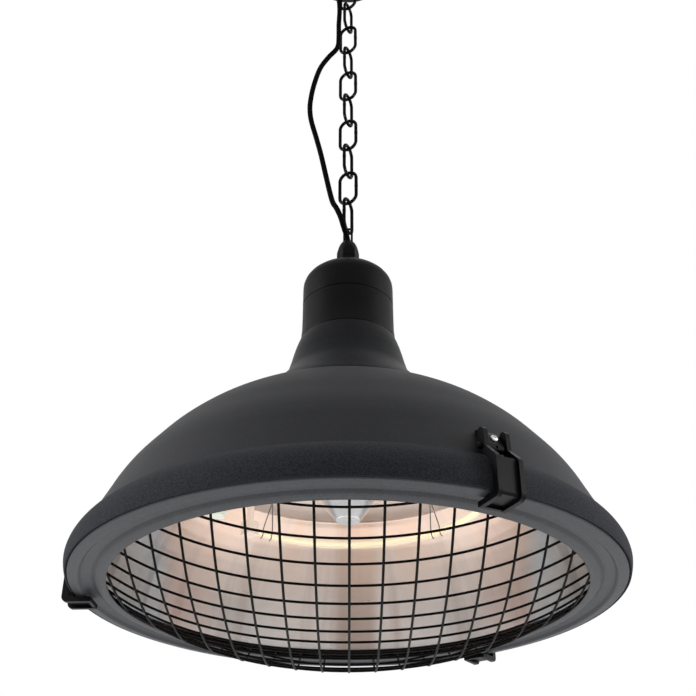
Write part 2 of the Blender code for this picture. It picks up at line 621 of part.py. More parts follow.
def make_lamp():
    """Ring lamp: an open-ended hollow tube, the element inside it, ceramic ends and wire clips."""
    end_gap_deg = 0.3
    half_gap = LAMP_END_TURN_DEG + math.degrees(LAMP_END_SIZE[0] / 2.0 / LAMP_RADIUS) + end_gap_deg
    start = LAMP_GAP_AT_DEG + half_gap
    z = LAMP_HEIGHT - CEILING_TO_RIM
    tube_steps = 28
    arc = [ring_point(start + (360.0 - 2.0 * half_gap) * i / tube_steps, LAMP_RADIUS, z)
           for i in range(tube_steps + 1)]
    tube = loose("ring_lamp", mesh_of_curve(wire("ring_lamp", arc, LAMP_TUBE), "ring_lamp"))
    past_end = 0.001
    over = (arc[0] - arc[1]).normalized() * past_end
    under = (arc[-1] - arc[-2]).normalized() * past_end
    bore_points = [arc[0] + over] + arc[1:-1] + [arc[-1] + under]
    bore_curve = wire("lamp_bore", bore_points, LAMP_TUBE - 2.0 * LAMP_WALL, 0)
    bore = loose("lamp_bore", mesh_of_curve(bore_curve, "lamp_bore"))
    boolean(tube, bore, "DIFFERENCE")
    add("ring_lamp", baked(tube), LAMP_GLASS, HEATER_PIVOT)
    add("lamp_filament", wire("lamp_filament", arc, FILAMENT_DIAMETER, 0), ELEMENT, HEATER_PIVOT)
    for index, angle in lamp_end_angles():
        make_lamp_end(index, angle)
    for index, angle in enumerate(CLIP_ANGLES_DEG, start=1):
        make_lamp_clip(index, angle)


def make_lamp_end(index, angle_deg):
    """Ceramic block at one end of the lamp, with a post that goes up through the reflector."""
    place = Matrix.Translation(ring_point(angle_deg, LAMP_RADIUS, LAMP_HEIGHT - CEILING_TO_RIM))
    place = place @ Matrix.Rotation(math.radians(angle_deg), 4, "Z")
    block = loose("lamp_end_%d" % index, box("lamp_end", LAMP_END_SIZE), place)
    post_low = LAMP_HEIGHT + 0.006
    post_middle = (post_low + LAMP_POST_TOP) / 2.0 - CEILING_TO_RIM
    post = loose("lamp_post_%d" % index, prism("lamp_post", LAMP_POST_RADIUS, LAMP_POST_TOP - post_low, 10),
                 Matrix.Translation(ring_point(angle_deg, LAMP_RADIUS, post_middle)))
    boolean(block, post, "UNION")
    mesh = baked(block)
    mesh.transform(place)
    add("lamp_end_%d" % index, mesh, CERAMIC, HEATER_PIVOT)


def make_lamp_clip(index, angle_deg):
    """A V of spring wire that stands on the reflector's ceiling and holds the tube in two small hooks."""
    spread = 2.4
    hook = [(153.6, 99.4), (150.4, 101.2), (148.6, 106), (148.0, 112)]
    apex = (141.0, 144.2)
    side = [(angle_deg - spread, r, z) for r, z in hook] + [(angle_deg, *apex)]
    side += [(angle_deg + spread, r, z) for r, z in reversed(hook)]
    points = [ring_point(a, r * MM, rim(z)) for a, r, z in side]
    add("lamp_clip_%d" % index, wire("lamp_clip_%d" % index, points, CLIP_WIRE, 0), SPRING_STEEL, HEATER_PIVOT)


def make_wiring():
    """Terminal block on its bracket, the lead from the gland and the two lamp leads."""
    top = rim(TERMINAL_BRACKET_TOP)
    add("terminal_bracket", box("terminal_bracket", TERMINAL_BRACKET_SIZE), ZINC, HEATER_PIVOT,
        Matrix.Translation((0.0, 0.0, top - TERMINAL_BRACKET_SIZE[2] / 2.0)))
    add("terminal_block", box("terminal_block", TERMINAL_BLOCK_SIZE), CERAMIC, HEATER_PIVOT,
        Matrix.Translation((0.0, 0.0, top + TOUCH_GAP + TERMINAL_BLOCK_SIZE[2] / 2.0)))
    supply, _ = smooth_route([(0, 0, 390.6), (0, 0, 380), (4, 2, 335), (3, 1, 285), (0, 0, 250),
                              (0, 0, 237.4)], 0.022)
    add("supply_lead", wire("supply_lead", supply, CORD_DIAMETER, 1), CORD_BLACK, HEATER_PIVOT)
    inner_routes = ([(-107, 96, 174), (-60, 60, 186), (-26, 40, 194), (0, 30, 203), (8, 24, 218),
                     (8, 17, 227.5), (8, 10.4, 227.5)],
                    [(-136.6, 44.4, 174), (-75, 40, 186), (-34, 24, 194), (-16, 26, 204), (-10, 23, 218),
                     (-8, 17, 227.5), (-8, 10.4, 227.5)])
    for (index, angle), route in zip(lamp_end_angles(), inner_routes):
        foot = ring_point(angle, LAMP_RADIUS / MM, 152.4)
        lead, _ = smooth_route([tuple(foot), (foot.x, foot.y, 160.0)] + route, 0.016)
        name = "lamp_lead_%d" % index
        add(name, wire(name, lead, LEAD_DIAMETER, 1), CERAMIC, HEATER_PIVOT)


def make_latches():
    """Three toggle latches round the flange: bracket, lever, pin and zinc screw."""
    pin_origin = Matrix.Translation((PIN_PLACE[0] * MM, 0.0, PIN_PLACE[1] * MM))
    lever_mesh = make_lever_mesh(pin_origin)
    bracket_mesh = make_bracket_mesh(pin_origin)
    pin_mesh = baked(profile_object("latch_pin", PIN_PROFILE, 10, from_rim=False))
    pin_mesh.transform(Matrix.Rotation(math.pi / 2.0, 4, "X"))
    screw_mesh = make_screw_mesh()
    for mesh, material in ((lever_mesh, BLACK_COAT), (bracket_mesh, BLACK_COAT), (pin_mesh, GLAND_BLACK),
                           (screw_mesh, ZINC)):
        mesh.materials.clear()
        mesh.materials.append(material)
    for index, azimuth in enumerate(LATCH_AZIMUTHS_DEG, start=1):
        frame = latch_frame(azimuth)
        at_pin = frame @ pin_origin
        joint = pivot("latch_pivot_%d" % index, at_pin.to_translation(), HEATER_PIVOT)
        add_shared("latch_lever_%d" % index, lever_mesh, joint, at_pin)
        add_shared("latch_bracket_%d" % index, bracket_mesh, HEATER_PIVOT, frame)
        add_shared("latch_pin_%d" % index, pin_mesh, HEATER_PIVOT, at_pin)
        add_shared("latch_screw_%d" % index, screw_mesh, HEATER_PIVOT, frame @ along_dome_normal(SCREW_PLACE))


def pin_drill(name, matrix):
    """Cutter for the pin's hole, along the latch's Y axis."""
    turn = Matrix.Rotation(math.pi / 2.0, 4, "X")
    return loose(name, prism(name, PIN_HOLE_RADIUS * MM, PIN_DRILL_LENGTH, 12), matrix @ turn)


def make_lever_mesh(pin_origin):
    """A channel with rims that face outwards, ears at its top and a hook at its bottom; origin on the pin."""
    lever = loose("lever", outline_plate("lever", LEVER_PLATE, LEVER_PLATE_WIDTH))
    for sign in (-1.0, 1.0):
        wall = outline_plate("lever_wall", LEVER_WALL, LEVER_WALL_WIDTH, sign * LEVER_WALL_CENTRE)
        boolean(lever, loose("lever_wall", wall), "UNION")
    boolean(lever, pin_drill("lever_drill", pin_origin), "DIFFERENCE")
    mesh = baked(lever)
    mesh.transform(pin_origin.inverted())
    return mesh


def make_bracket_mesh(pin_origin):
    """A block on the dome with a knuckle round the pin, a hole for the screw and a shallow mark in front."""
    bracket = loose("bracket", outline_plate("bracket", BRACKET_OUTLINE, BRACKET_WIDTH))
    boolean(bracket, pin_drill("bracket_drill", pin_origin), "DIFFERENCE")
    drill = loose("screw_hole", prism("screw_hole", SCREW_HOLE_RADIUS * MM, SCREW_DRILL_LENGTH, 10),
                  along_dome_normal(SCREW_PLACE))
    boolean(bracket, drill, "DIFFERENCE")
    mark = loose("mark_hole", prism("mark_hole", MARK_HOLE_RADIUS * MM, 2.0 * MARK_HOLE_DEPTH, 10),
                 Matrix.Translation((MARK_PLACE[0] * MM, 0.0, MARK_PLACE[1] * MM))
                 @ Matrix.Rotation(math.pi / 2.0, 4, "Y"))
    boolean(bracket, mark, "DIFFERENCE")
    return baked(bracket)


def make_screw_mesh():
    """Pan-head screw with a cross recess; its origin is under the head."""
    screw = profile_object("screw", SCREW_PROFILE, 10, from_rim=False)
    for index in range(2):
        slot = loose("screw_slot", box("screw_slot", SCREW_SLOT_SIZE),
                     Matrix.Translation((0.0, 0.0, SCREW_PROFILE[0][1] * MM))
                     @ Matrix.Rotation(math.pi / 2.0 * index, 4, "Z"))
        boolean(screw, slot, "DIFFERENCE")
    return baked(screw)


def make_cord():
    """The free cord in two stretches that meet face to face beside the chain."""
    for name, route, parent in (("cord_lower", CORD_LOWER_ROUTE, HEATER_PIVOT),
                                ("cord_upper", CORD_UPPER_ROUTE, CHAIN_PIVOT)):
        points, length = smooth_route(route, CORD_STEP)
        add(name, wire(name, points, CORD_DIAMETER, 2), CORD_BLACK, parent)
        print("%s is %.3f m long" % (name, length))


make_ceiling_fitting()
make_chain()
make_gland()
make_neck()
make_shade()
make_frame()
make_grille()
make_reflector()
make_lamp()
make_wiring()
make_latches()
make_cord()
bpy.context.view_layer.update()
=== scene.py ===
# %% [markdown]
# # A hanging patio heater, dressed for a studio picture
# The heater is a pressed steel dome on a chain. Its mouth holds a latched ring with a domed wire grille, and
# behind that a bright reflector and a ring lamp. The packed model already gives every piece its place and
# size. This lesson gives each visible piece its smooth surface and its finish.

# %% Load the frame
import math

import bpy
import numpy as np
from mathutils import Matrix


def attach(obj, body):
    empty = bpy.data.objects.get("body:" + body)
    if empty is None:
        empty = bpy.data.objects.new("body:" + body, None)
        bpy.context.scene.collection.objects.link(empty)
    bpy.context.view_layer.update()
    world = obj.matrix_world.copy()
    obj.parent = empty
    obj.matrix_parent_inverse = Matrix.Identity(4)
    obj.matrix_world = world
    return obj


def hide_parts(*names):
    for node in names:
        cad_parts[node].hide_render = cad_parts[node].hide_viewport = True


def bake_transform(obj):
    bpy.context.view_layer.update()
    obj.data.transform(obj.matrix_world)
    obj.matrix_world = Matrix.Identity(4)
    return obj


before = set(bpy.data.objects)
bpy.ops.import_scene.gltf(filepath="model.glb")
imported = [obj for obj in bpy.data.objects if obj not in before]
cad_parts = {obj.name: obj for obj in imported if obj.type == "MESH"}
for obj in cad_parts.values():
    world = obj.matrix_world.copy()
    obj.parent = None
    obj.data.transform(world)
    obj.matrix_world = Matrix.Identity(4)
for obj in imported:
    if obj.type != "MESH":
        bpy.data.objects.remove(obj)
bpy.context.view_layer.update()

# %% [markdown]
# ## The camera
# The picture was taken from below and in front. A pitch of 31.8 degrees and a lens of 54 mm put the heater's
# axis, rim and chain where the photograph has them, so no lens shift is needed. The camera comes first,
# because the cords are judged by what it sees.

# %% Camera
MM = 0.001
RIM_Z = -1.0
CAMERA_PLACE = (0.0, -1.0517, -1.3573)
CAMERA_PITCH = math.radians(31.79)
LENS_MM = 53.76
SENSOR_MM = 36.0


def make_camera():
    """A level camera that looks up at the heater."""
    data = bpy.data.cameras.new("photo_camera")
    data.lens = LENS_MM
    data.sensor_width = SENSOR_MM
    camera = bpy.data.objects.new("photo_camera", data)
    camera.location = CAMERA_PLACE
    camera.rotation_euler = (math.pi / 2.0 + CAMERA_PITCH, 0.0, 0.0)
    bpy.context.scene.collection.objects.link(camera)
    bpy.context.scene.camera = camera
    return camera


print("camera at", tuple(make_camera().location))

# %% [markdown]
# ## Surfaces as grids of points
# Nearly every piece here is a ring of points that moves: round an axis for the dome, along a path for a wire,
# or straight across for a plate. So one function is enough to make faces: it takes a stack of rings and joins
# each ring to the next. The points themselves come from formulas on whole arrays.

# %% Rings to faces
TINY = 1e-6


def loft(rings, wrap=False, start=None, end=None):
    """Faces between neighbouring rings. rings is (rings, points, 3). wrap joins the last ring to the first.
    start and end close the ends: "flat" is one face, and a point is a fan of triangles."""
    count, sides = rings.shape[:2]
    index = np.arange(count * sides).reshape(count, sides)
    if wrap:
        index = np.vstack([index, index[:1]])
    index = np.hstack([index, index[:, :1]])
    quads = np.stack([index[:-1, :-1], index[:-1, 1:], index[1:, 1:], index[1:, :-1]], axis=-1).reshape(-1, 4)
    verts = rings.reshape(-1, 3)
    steps = np.linalg.norm(np.diff(rings.mean(axis=1), axis=0), axis=1)
    if steps.sum() < TINY:
        steps = np.linalg.norm(np.diff(rings[:, 0], axis=0), axis=1)
    along = np.concatenate([[0.0], np.cumsum(steps)])
    along = np.append(along, along[-1] + (steps.mean() if len(steps) else 0.0)) if wrap else along
    around = np.linspace(0.0, 1.0, sides + 1)
    uv = np.stack(np.meshgrid(around, along), axis=-1)
    corners = np.stack([uv[:-1, :-1], uv[:-1, 1:], uv[1:, 1:], uv[1:, :-1]], axis=2).reshape(-1, 4, 2)
    faces = [(quads, corners)]
    for cap, ring, flip in ((start, index[0, :-1], True), (end, index[-1, :-1], False)):
        if cap is None:
            continue
        order = ring[::-1] if flip else ring
        if isinstance(cap, str):
            faces.append((order[None, :], np.zeros((1, sides, 2))))
        else:
            tip = np.full(sides, len(verts))
            verts = np.vstack([verts, np.asarray(cap, float)[None, :]])
            fan = np.stack([order, np.roll(order, -1), tip], axis=-1)
            faces.append((fan, np.zeros((sides, 3, 2))))
    return verts, faces


def volume(verts, faces):
    """Signed volume of a closed shape: negative if its faces point inwards."""
    total = 0.0
    for block, _ in faces:
        for k in range(1, block.shape[1] - 1):
            a, b, c = verts[block[:, 0]], verts[block[:, k]], verts[block[:, k + 1]]
            total += np.einsum("ij,ij->", a, np.cross(b, c)) / 6.0
    return total


UNIT_SQUARE = np.array([(0, 0, 0), (1, 0, 0), (1, 1, 0), (0, 1, 0)], float)
unit_cube = loft(np.stack([UNIT_SQUARE, UNIT_SQUARE + (0, 0, 1)]), start="flat", end="flat")
print("a cube of one metre holds", round(abs(volume(*unit_cube)), 6), "cubic metres")

# %% [markdown]
# A mesh takes flat lists: all its points, then for each face how many corners it has and which. The UV map is
# one pair for each corner, so a seam needs no doubled points. Before a shape goes in, its signed volume says
# whether its faces point outwards.

# %% Faces to an object
SMOOTH_BELOW = 35.0


def smooth(mesh, degrees):
    """Smooth shading, with edges left sharp where faces meet at more than these degrees."""
    mesh.shade_smooth()
    mesh.set_sharp_from_angle(angle=math.radians(degrees))


def mesh_from(name, shapes, smooth_deg=SMOOTH_BELOW):
    """A mesh of several closed shapes, with a UV map: once around, and metres along."""
    verts, loops, sizes, uvs, base = [], [], [], [], 0
    for points, faces in shapes:
        inside_out = volume(points, faces) < 0.0
        for block, corners in faces:
            block, corners = (block[:, ::-1], corners[:, ::-1]) if inside_out else (block, corners)
            loops.append((block + base).ravel())
            sizes.append(np.full(len(block), block.shape[1]))
            uvs.append(corners.reshape(-1, 2))
        verts.append(points)
        base += len(points)
    verts, loops, sizes = np.vstack(verts), np.concatenate(loops), np.concatenate(sizes)
    mesh = bpy.data.meshes.new(name)
    mesh.vertices.add(len(verts))
    mesh.vertices.foreach_set("co", verts.astype(np.float32).ravel())
    mesh.loops.add(len(loops))
    mesh.loops.foreach_set("vertex_index", loops.astype(np.int32))
    mesh.polygons.add(len(sizes))
    mesh.polygons.foreach_set("loop_start", np.concatenate([[0], np.cumsum(sizes)[:-1]]).astype(np.int32))
    layer = mesh.uv_layers.new(name="UVMap")
    mesh.update(calc_edges=True)
    layer.uv.foreach_set("vector", np.vstack(uvs).astype(np.float32).ravel())
    smooth(mesh, smooth_deg)
    return mesh


print("edges look smooth below", SMOOTH_BELOW, "degrees")

# %% [markdown]
# Every object here is made by one function: it gets one finish, the body that it rides on, and the packed
# node whose place it takes.

# %% Pieces
def piece(name, node, shapes, finish, body, smooth_deg=SMOOTH_BELOW):
    """An object that stands for one node, and rides on a body unless that is None. shapes is a list of closed
    shapes, or a mesh that is ready."""
    data = mesh_from(node, shapes, smooth_deg) if isinstance(shapes, list) else shapes
    obj = bpy.data.objects.new(name, data)
    bpy.context.scene.collection.objects.link(obj)
    data.materials.clear()
    data.materials.append(finish)
    if body is not None:
        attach(obj, body)
    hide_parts(node)
    return obj


print("pieces to dress:", len(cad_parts))

# %% [markdown]
# ## Curves and rounded corners
# A pressed or turned part has no perfectly sharp corner, and the thin bright line along a rounded edge is
# what makes it look real. So outlines are first rounded. Smooth stretches, such as the dome's flank or a
# cord's run, are cubic curves that pass through each of their points.

# %% Outlines
CORNER_SHARE = 0.45


def curve_through(points, samples):
    """A cubic curve in spans. The slope at each point is half the step from the one before it to the one after,
    and each span blends its two ends and their slopes."""
    p = np.asarray(points, float)
    p = np.vstack([2.0 * p[0] - p[1], p, 2.0 * p[-1] - p[-2]])
    a, b, c, d = p[:-3, None], p[1:-2, None], p[2:-1, None], p[3:, None]
    t = (np.arange(samples) / samples)[None, :, None]
    spans = 0.5 * (2.0 * b + (c - a) * t + (2.0 * a - 5.0 * b + 4.0 * c - d) * t ** 2
                   + (3.0 * b - 3.0 * c + d - a) * t ** 3)
    return np.vstack([spans.reshape(-1, p.shape[1]), p[-2:-1]])


def rounded(points, radius, samples=4):
    """Closed outline whose corners are quarter-like arcs: a quadratic curve from one side to the next, which
    takes up to a fixed share of the shorter side."""
    p = np.asarray(points, float)
    before, after = np.roll(p, 1, axis=0) - p, np.roll(p, -1, axis=0) - p
    length_before = np.linalg.norm(before, axis=1, keepdims=True)
    length_after = np.linalg.norm(after, axis=1, keepdims=True)
    reach = np.minimum(np.broadcast_to(np.asarray(radius, float).reshape(-1, 1), length_before.shape),
                       CORNER_SHARE * np.minimum(length_before, length_after))
    first, last = p + before / length_before * reach, p + after / length_after * reach
    t = np.linspace(0.0, 1.0, samples + 1)[None, :, None]
    arcs = (1.0 - t) ** 2 * first[:, None] + 2.0 * t * (1.0 - t) * p[:, None] + t ** 2 * last[:, None]
    return arcs.reshape(-1, p.shape[1])


def rounded_open(points, radius, samples=4):
    """An open outline with rounded corners: its first and last points stay as they are."""
    arcs = rounded(points, radius, samples)[samples + 1:-samples - 1]
    return np.vstack([points[:1], arcs, points[-1:]])


print("a rounded square has", len(rounded([(0, 0), (1, 0), (1, 1), (0, 1)], 0.2)), "points")

# %% [markdown]
# The dome, the neck and the reflector are turned: an outline goes once round the upright axis.

# %% Turning
X_AXIS, Y_AXIS, UP = np.eye(3)


def full_turn(steps):
    """Equal angles once round, in radians."""
    return np.arange(steps) * 2.0 * np.pi / steps


def spun(profile, foot, axis, aside, other, steps):
    """A profile of (radius, height) in metres, carried round an axis through foot: each point is foot, plus height
    times the axis, plus radius times the circle through aside and other. A profile that starts and ends on the
    axis is closed there by a point, and any other is closed on itself."""
    poles = profile[0, 0] < TINY and profile[-1, 0] < TINY
    body = profile[1:-1] if poles else profile
    angle = full_turn(steps)
    circle = np.cos(angle)[:, None] * aside + np.sin(angle)[:, None] * other
    rings = foot + body[:, None, :1] * circle + body[:, None, 1:] * axis
    if not poles:
        return loft(rings, wrap=True)
    return loft(rings, start=foot + axis * profile[0, 1], end=foot + axis * profile[-1, 1])


def turned(profile, steps, centre=(0.0, 0.0)):
    """A profile of (radius, height above the rim) in millimetres, carried round an upright axis."""
    profile = np.asarray(profile, float) * MM + (0.0, RIM_Z)
    return spun(profile, np.array([*centre, 0.0]), UP, X_AXIS, Y_AXIS, steps)


print("a turned washer has", len(turned([(8, 0), (9, 0), (9, 1), (8, 1)], 24)[0]), "points")

# %% [markdown]
# Chain, cord and grille are swept: a circle goes along a path and always stands square to it.

# %% Sweeping
DOME_RING, DOME_REACH, DOME_TIP = 0.6, 0.35, 0.45


def tube(path, radius, up, sides=12, closed=False, dome=True):
    """Circles carried along a path. Each stands square to the path: one axis is the path's direction crossed
    with up, the other completes the frame. Ends are small domes or flat."""
    path = np.asarray(path, float)
    if closed:
        tangent = np.roll(path, -1, axis=0) - np.roll(path, 1, axis=0)
    else:
        tangent = np.gradient(path, axis=0)
    tangent /= np.linalg.norm(tangent, axis=1, keepdims=True)
    side = np.cross(tangent, np.broadcast_to(np.asarray(up, float), path.shape))
    side /= np.linalg.norm(side, axis=1, keepdims=True)
    other = np.cross(side, tangent)
    radius = np.broadcast_to(np.asarray(radius, float), (len(path),))
    angle = full_turn(sides)
    round_ring = np.cos(angle)[None, :, None] * side[:, None] + np.sin(angle)[None, :, None] * other[:, None]
    rings = path[:, None] + round_ring * radius[:, None, None]
    if closed:
        return loft(rings, wrap=True)
    if not dome:
        return loft(rings, start="flat", end="flat")
    first = path[0] - tangent[0] * radius[0] * DOME_REACH + round_ring[0] * radius[0] * DOME_RING
    last = path[-1] + tangent[-1] * radius[-1] * DOME_REACH + round_ring[-1] * radius[-1] * DOME_RING
    rings = np.concatenate([first[None], rings, last[None]])
    return loft(rings, start=path[0] - tangent[0] * radius[0] * DOME_TIP,
                end=path[-1] + tangent[-1] * radius[-1] * DOME_TIP)


print("a tube of two rings has", len(tube([(0, 0, 0), (0, 0, 1)], 0.1, (1, 0, 0))[0]), "points")

# %% [markdown]
# ## Shader maths as Python
# A finish is a small sum: a base value, plus a bit of noise, times a mask. Written as nodes it is hard to
# read. So one class stands for a socket, and Python's own operators add the Math nodes. Every other node
# comes from one method, and whatever varies over the surface ends in colour, roughness or bump.

# %% The shader class
def both_ways(operation):
    """An operator and its reflected form, each as one Math node."""
    def plain(link, other):
        return link.math(operation, link, other)

    def reflected(link, other):
        return link.math(operation, other, link)

    return plain, reflected


class Link:
    """An output socket. Sums and products of links and numbers become Math nodes."""

    def __init__(self, tree, socket):
        self.tree, self.socket = tree, socket

    def node(self, kind, settings=None, inputs=None, output=0):
        """Any other node: its settings first, then the values or links of its sockets."""
        made = self.tree.nodes.new(kind)
        for key, value in (settings or {}).items():
            setattr(made, key, value)
        for key, value in (inputs or {}).items():
            if isinstance(value, Link):
                self.tree.links.new(value.socket, made.inputs[key])
            else:
                made.inputs[key].default_value = value
        return Link(self.tree, made.outputs[output])

    def outputs(self, *names):
        """Links to several outputs of the node that this one comes from."""
        return [Link(self.tree, self.socket.node.outputs[name]) for name in names]

    def math(self, operation, *values):
        """One Math node with this operation on these values."""
        return self.node("ShaderNodeMath", {"operation": operation}, dict(enumerate(values)))

    __add__, __radd__ = both_ways("ADD")
    __sub__, __rsub__ = both_ways("SUBTRACT")
    __mul__, __rmul__ = both_ways("MULTIPLY")
    __truediv__, __rtruediv__ = both_ways("DIVIDE")
    __pow__, __rpow__ = both_ways("POWER")

    def between(self, low, high):
        """0 below low, 1 above high, and a smooth step between them."""
        return self.node("ShaderNodeMapRange", {"interpolation_type": "SMOOTHSTEP"},
                         {"Value": self, "From Min": low, "From Max": high})

    def blend(self, first, second):
        """A colour from first, where this is 0, to second, where it is 1. Sockets 6 and 7 are the two colours."""
        return self.node("ShaderNodeMix", {"data_type": "RGBA"}, {0: self, 6: first, 7: second}, output=2)

    def stretched(self, x, y, z):
        """A vector with each of its parts multiplied by a number."""
        return self.node("ShaderNodeVectorMath", {"operation": "MULTIPLY"}, {0: self, 1: (x, y, z)})


print("reflected operators:", ", ".join(sorted(name for name in vars(Link) if name.startswith("__r"))))

# %% [markdown]
# A material starts from constants on the shader's own sockets. `new_finish` sets them and hands back a link
# to the Object coordinates, from which noise and masks are made.

# %% Making a finish
NOISE_ROUGHNESS = 0.55


def new_finish(name, colour, roughness, metallic=0.0, **sockets):
    """A Principled material with constant sockets; returns it, its shader and the object coordinates."""
    material = bpy.data.materials.new(name)
    material.use_nodes = True
    tree = material.node_tree
    shader = tree.nodes["Principled BSDF"]
    constants = {"Base Color": (*colour, 1.0), "Roughness": roughness, "Metallic": metallic, **sockets}
    for key, value in constants.items():
        shader.inputs[key].default_value = value
    return material, shader, Link(tree, None).node("ShaderNodeTexCoord", output="Object")


def feed(shader, **links):
    """Connect links to the shader's sockets; underscores stand for spaces."""
    for key, link in links.items():
        link.tree.links.new(link.socket, shader.inputs[key.replace("_", " ")])


def noise(place, scale, detail=3.0):
    """Fractal noise from 0 to 1 on a vector, scale in cells per metre."""
    return place.node("ShaderNodeTexNoise", {}, {"Vector": place, "Scale": scale, "Detail": detail,
                                                 "Roughness": NOISE_ROUGHNESS})


def bump(height, distance):
    """A Bump node whose height, from 0 to 1, stands for distance in metres."""
    return height.node("ShaderNodeBump", {}, {"Height": height, "Distance": distance, "Strength": 1.0})


def coordinates(place):
    """The x, y and z of a vector."""
    return place.node("ShaderNodeSeparateXYZ", {}, {"Vector": place}).outputs("X", "Y", "Z")


def tint(colour, factor):
    """A colour made lighter or darker by a number."""
    return (*(min(1.0, c * factor) for c in colour), 1.0)


print("a grey made half as light again:", [round(c, 3) for c in tint((0.2, 0.2, 0.2), 1.5)])

# %% [markdown]
# ## Powder coat
# The shade, the neck and the latches are coated with a fine-textured black powder. Close up it is a skin of
# tiny grains, about a third of a millimetre apart, that break up the light. From a step away it looks matt,
# with faint cloudy patches where the powder lies thicker. The neck's coat is painted darker towards the top as
# painted shade. The flange below the crease has a coarser, duller grain than the dome, and it is painted
# lighter in a speckle as painted light and glints.

# %% Coated steel
GRAINS, PITS, GRIT, CLOUDS = 1500.0, 520.0, 900.0, 14.0
DUST = (0.12, 0.12, 0.12, 1.0)
PAINTED_SHADE_OVER = 0.10
CREASE_BAND = 0.0006
CREASE_Z = RIM_Z + 0.0338


def powder_coat(name, colour, roughness, sheen, grain=0.00032, coarse_lit_below=None, painted_shade_above=None):
    """Fine grain in the bump, clouds in colour and roughness, and a little dust on faces that look up. Below the
    height given for a coarser flange, the grain is coarser and the coat duller, and its colour is painted lighter
    in a speckle, as painted light and glints. Above the height given for a darker neck, the colour is painted
    darker over a decimetre, as painted shade."""
    material, shader, place = new_finish(name, colour, roughness, **{"Specular IOR Level": sheen})
    grains, pits, clouds = noise(place, GRAINS, 2.0), noise(place, PITS, 2.0), noise(place, CLOUDS, 4.0)
    streaks = noise(place.stretched(60.0, 60.0, 5.0), 1.0)
    height = coordinates(place)[2]
    shade = (clouds * 0.6 + streaks * 0.4).between(0.3, 0.7)
    upwards = coordinates(place.node("ShaderNodeNewGeometry", output="Normal"))[2]
    dust = upwards.between(0.35, 1.0) * clouds.between(0.35, 0.75) * 0.12
    coat = (shade * 0.5 + pits.between(0.35, 0.65) * 0.5).blend(tint(colour, 0.72), tint(colour, 1.28))
    rough, relief = clouds * 0.12 + grains * 0.10 + (roughness - 0.10), grains * 0.45 + pits * 0.55
    # Painted shade: above this height the neck's colour is painted darker, down to 0.15 of itself.
    if painted_shade_above is not None:
        coat = height.between(painted_shade_above, painted_shade_above + PAINTED_SHADE_OVER).blend(coat, tint(colour, 0.15))
    # Painted light: below the crease the colour is lifted to 1.1 to 2.6 times the coat in a speckle, for the
    # flange's lighter tone and glints.
    if coarse_lit_below is not None:
        low = 1.0 - height.between(coarse_lit_below - CREASE_BAND, coarse_lit_below + CREASE_BAND)
        rough, relief = rough + low * 0.34, relief * (0.5 + low * 0.5)
        lit_grit = noise(place, GRIT, 1.0).between(0.38, 0.62)
        coat = low.blend(coat, lit_grit.blend(tint(colour, 1.1), tint(colour, 2.6)))
    feed(shader, Base_Color=dust.blend(coat, DUST), Roughness=rough, Normal=bump(relief, grain))
    return material


SMOOTH_GRAIN = 0.00006
SHADE_COAT = powder_coat("shade_powder_coat", (0.0120, 0.0125, 0.0150), 0.55, 0.23, 0.0006, CREASE_Z)
NECK_COAT = powder_coat("neck_powder_coat", (0.0125, 0.0130, 0.0150), 0.40, 0.08, painted_shade_above=RIM_Z + 0.24)
RING_COAT = powder_coat("ring_powder_coat", (0.0440, 0.0460, 0.0530), 0.44, 0.40)
LATCH_COAT = powder_coat("latch_powder_coat", (0.0030, 0.0030, 0.0040), 0.34, 0.14, SMOOTH_GRAIN)
WIRE_COAT = powder_coat("grille_wire_coat", (0.0026, 0.0022, 0.0020), 0.46, 0.06, SMOOTH_GRAIN)
CEILING_COAT = powder_coat("canopy_powder_coat", (0.0080, 0.0085, 0.0100), 0.50, 0.21)
print("powder coats:", SHADE_COAT.name, RING_COAT.name, LATCH_COAT.name)

# %% [markdown]
# ## Nylon, lacquered steel and rubber
# The gland is moulded nylon: smooth, with a soft sheen and the odd flow mark. The chain's lacquer is thin,
# with rubbed spots where links bear on each other. The cord's rubber sheath is matt, with a fine ripple from
# the extruder. All three read nearly black in the picture, so their sheen is low.

# %% Small black finishes
NYLON_SHEEN, LACQUER_SHEEN, RUBBER_SHEEN = 0.06, 0.04, 0.02
LOWEST_LINK_Z = -0.5048
CHAIN_PITCH = 0.0468
RUBBED_REACH = 0.006
RUBBED_STEEL = (0.10, 0.098, 0.095, 1.0)
RIPPLES = 3900.0


def moulded_nylon(name, colour, roughness):
    """A smooth moulded surface with slow flow marks and a fine spark texture."""
    material, shader, place = new_finish(name, colour, roughness, **{"Specular IOR Level": NYLON_SHEEN})
    flow, spark = noise(place, 120.0, 3.0), noise(place, 2600.0, 1.0)
    feed(shader, Base_Color=flow.between(0.3, 0.7).blend(tint(colour, 0.8), tint(colour, 1.25)),
         Roughness=flow * 0.18 + (roughness - 0.08), Normal=bump(spark, 0.00004))
    return material


def chain_lacquer(name, colour):
    """Thin lacquer, rubbed to steel near the bearing points, which repeat at the chain's pitch in height: how far
    a height is from the nearest one is its fraction of a pitch, taken from the middle."""
    material, shader, place = new_finish(name, colour, 0.34, **{"Specular IOR Level": LACQUER_SHEEN})
    pitches = (coordinates(place)[2] - (LOWEST_LINK_Z - CHAIN_PITCH / 2.0)) / CHAIN_PITCH + 0.5
    across = pitches.math("FRACT", pitches) - 0.5
    near = 1.0 - (across.math("ABSOLUTE", across) * CHAIN_PITCH).between(0.0, RUBBED_REACH)
    scuff = noise(place, 420.0, 4.0).between(0.52, 0.66) * near
    lumps = noise(place, 260.0)
    feed(shader, Base_Color=scuff.blend(tint(colour, 1.0), RUBBED_STEEL), Metallic=scuff * 0.85,
         Roughness=lumps * 0.16 + 0.26, Normal=bump(lumps, 0.00008))
    return material


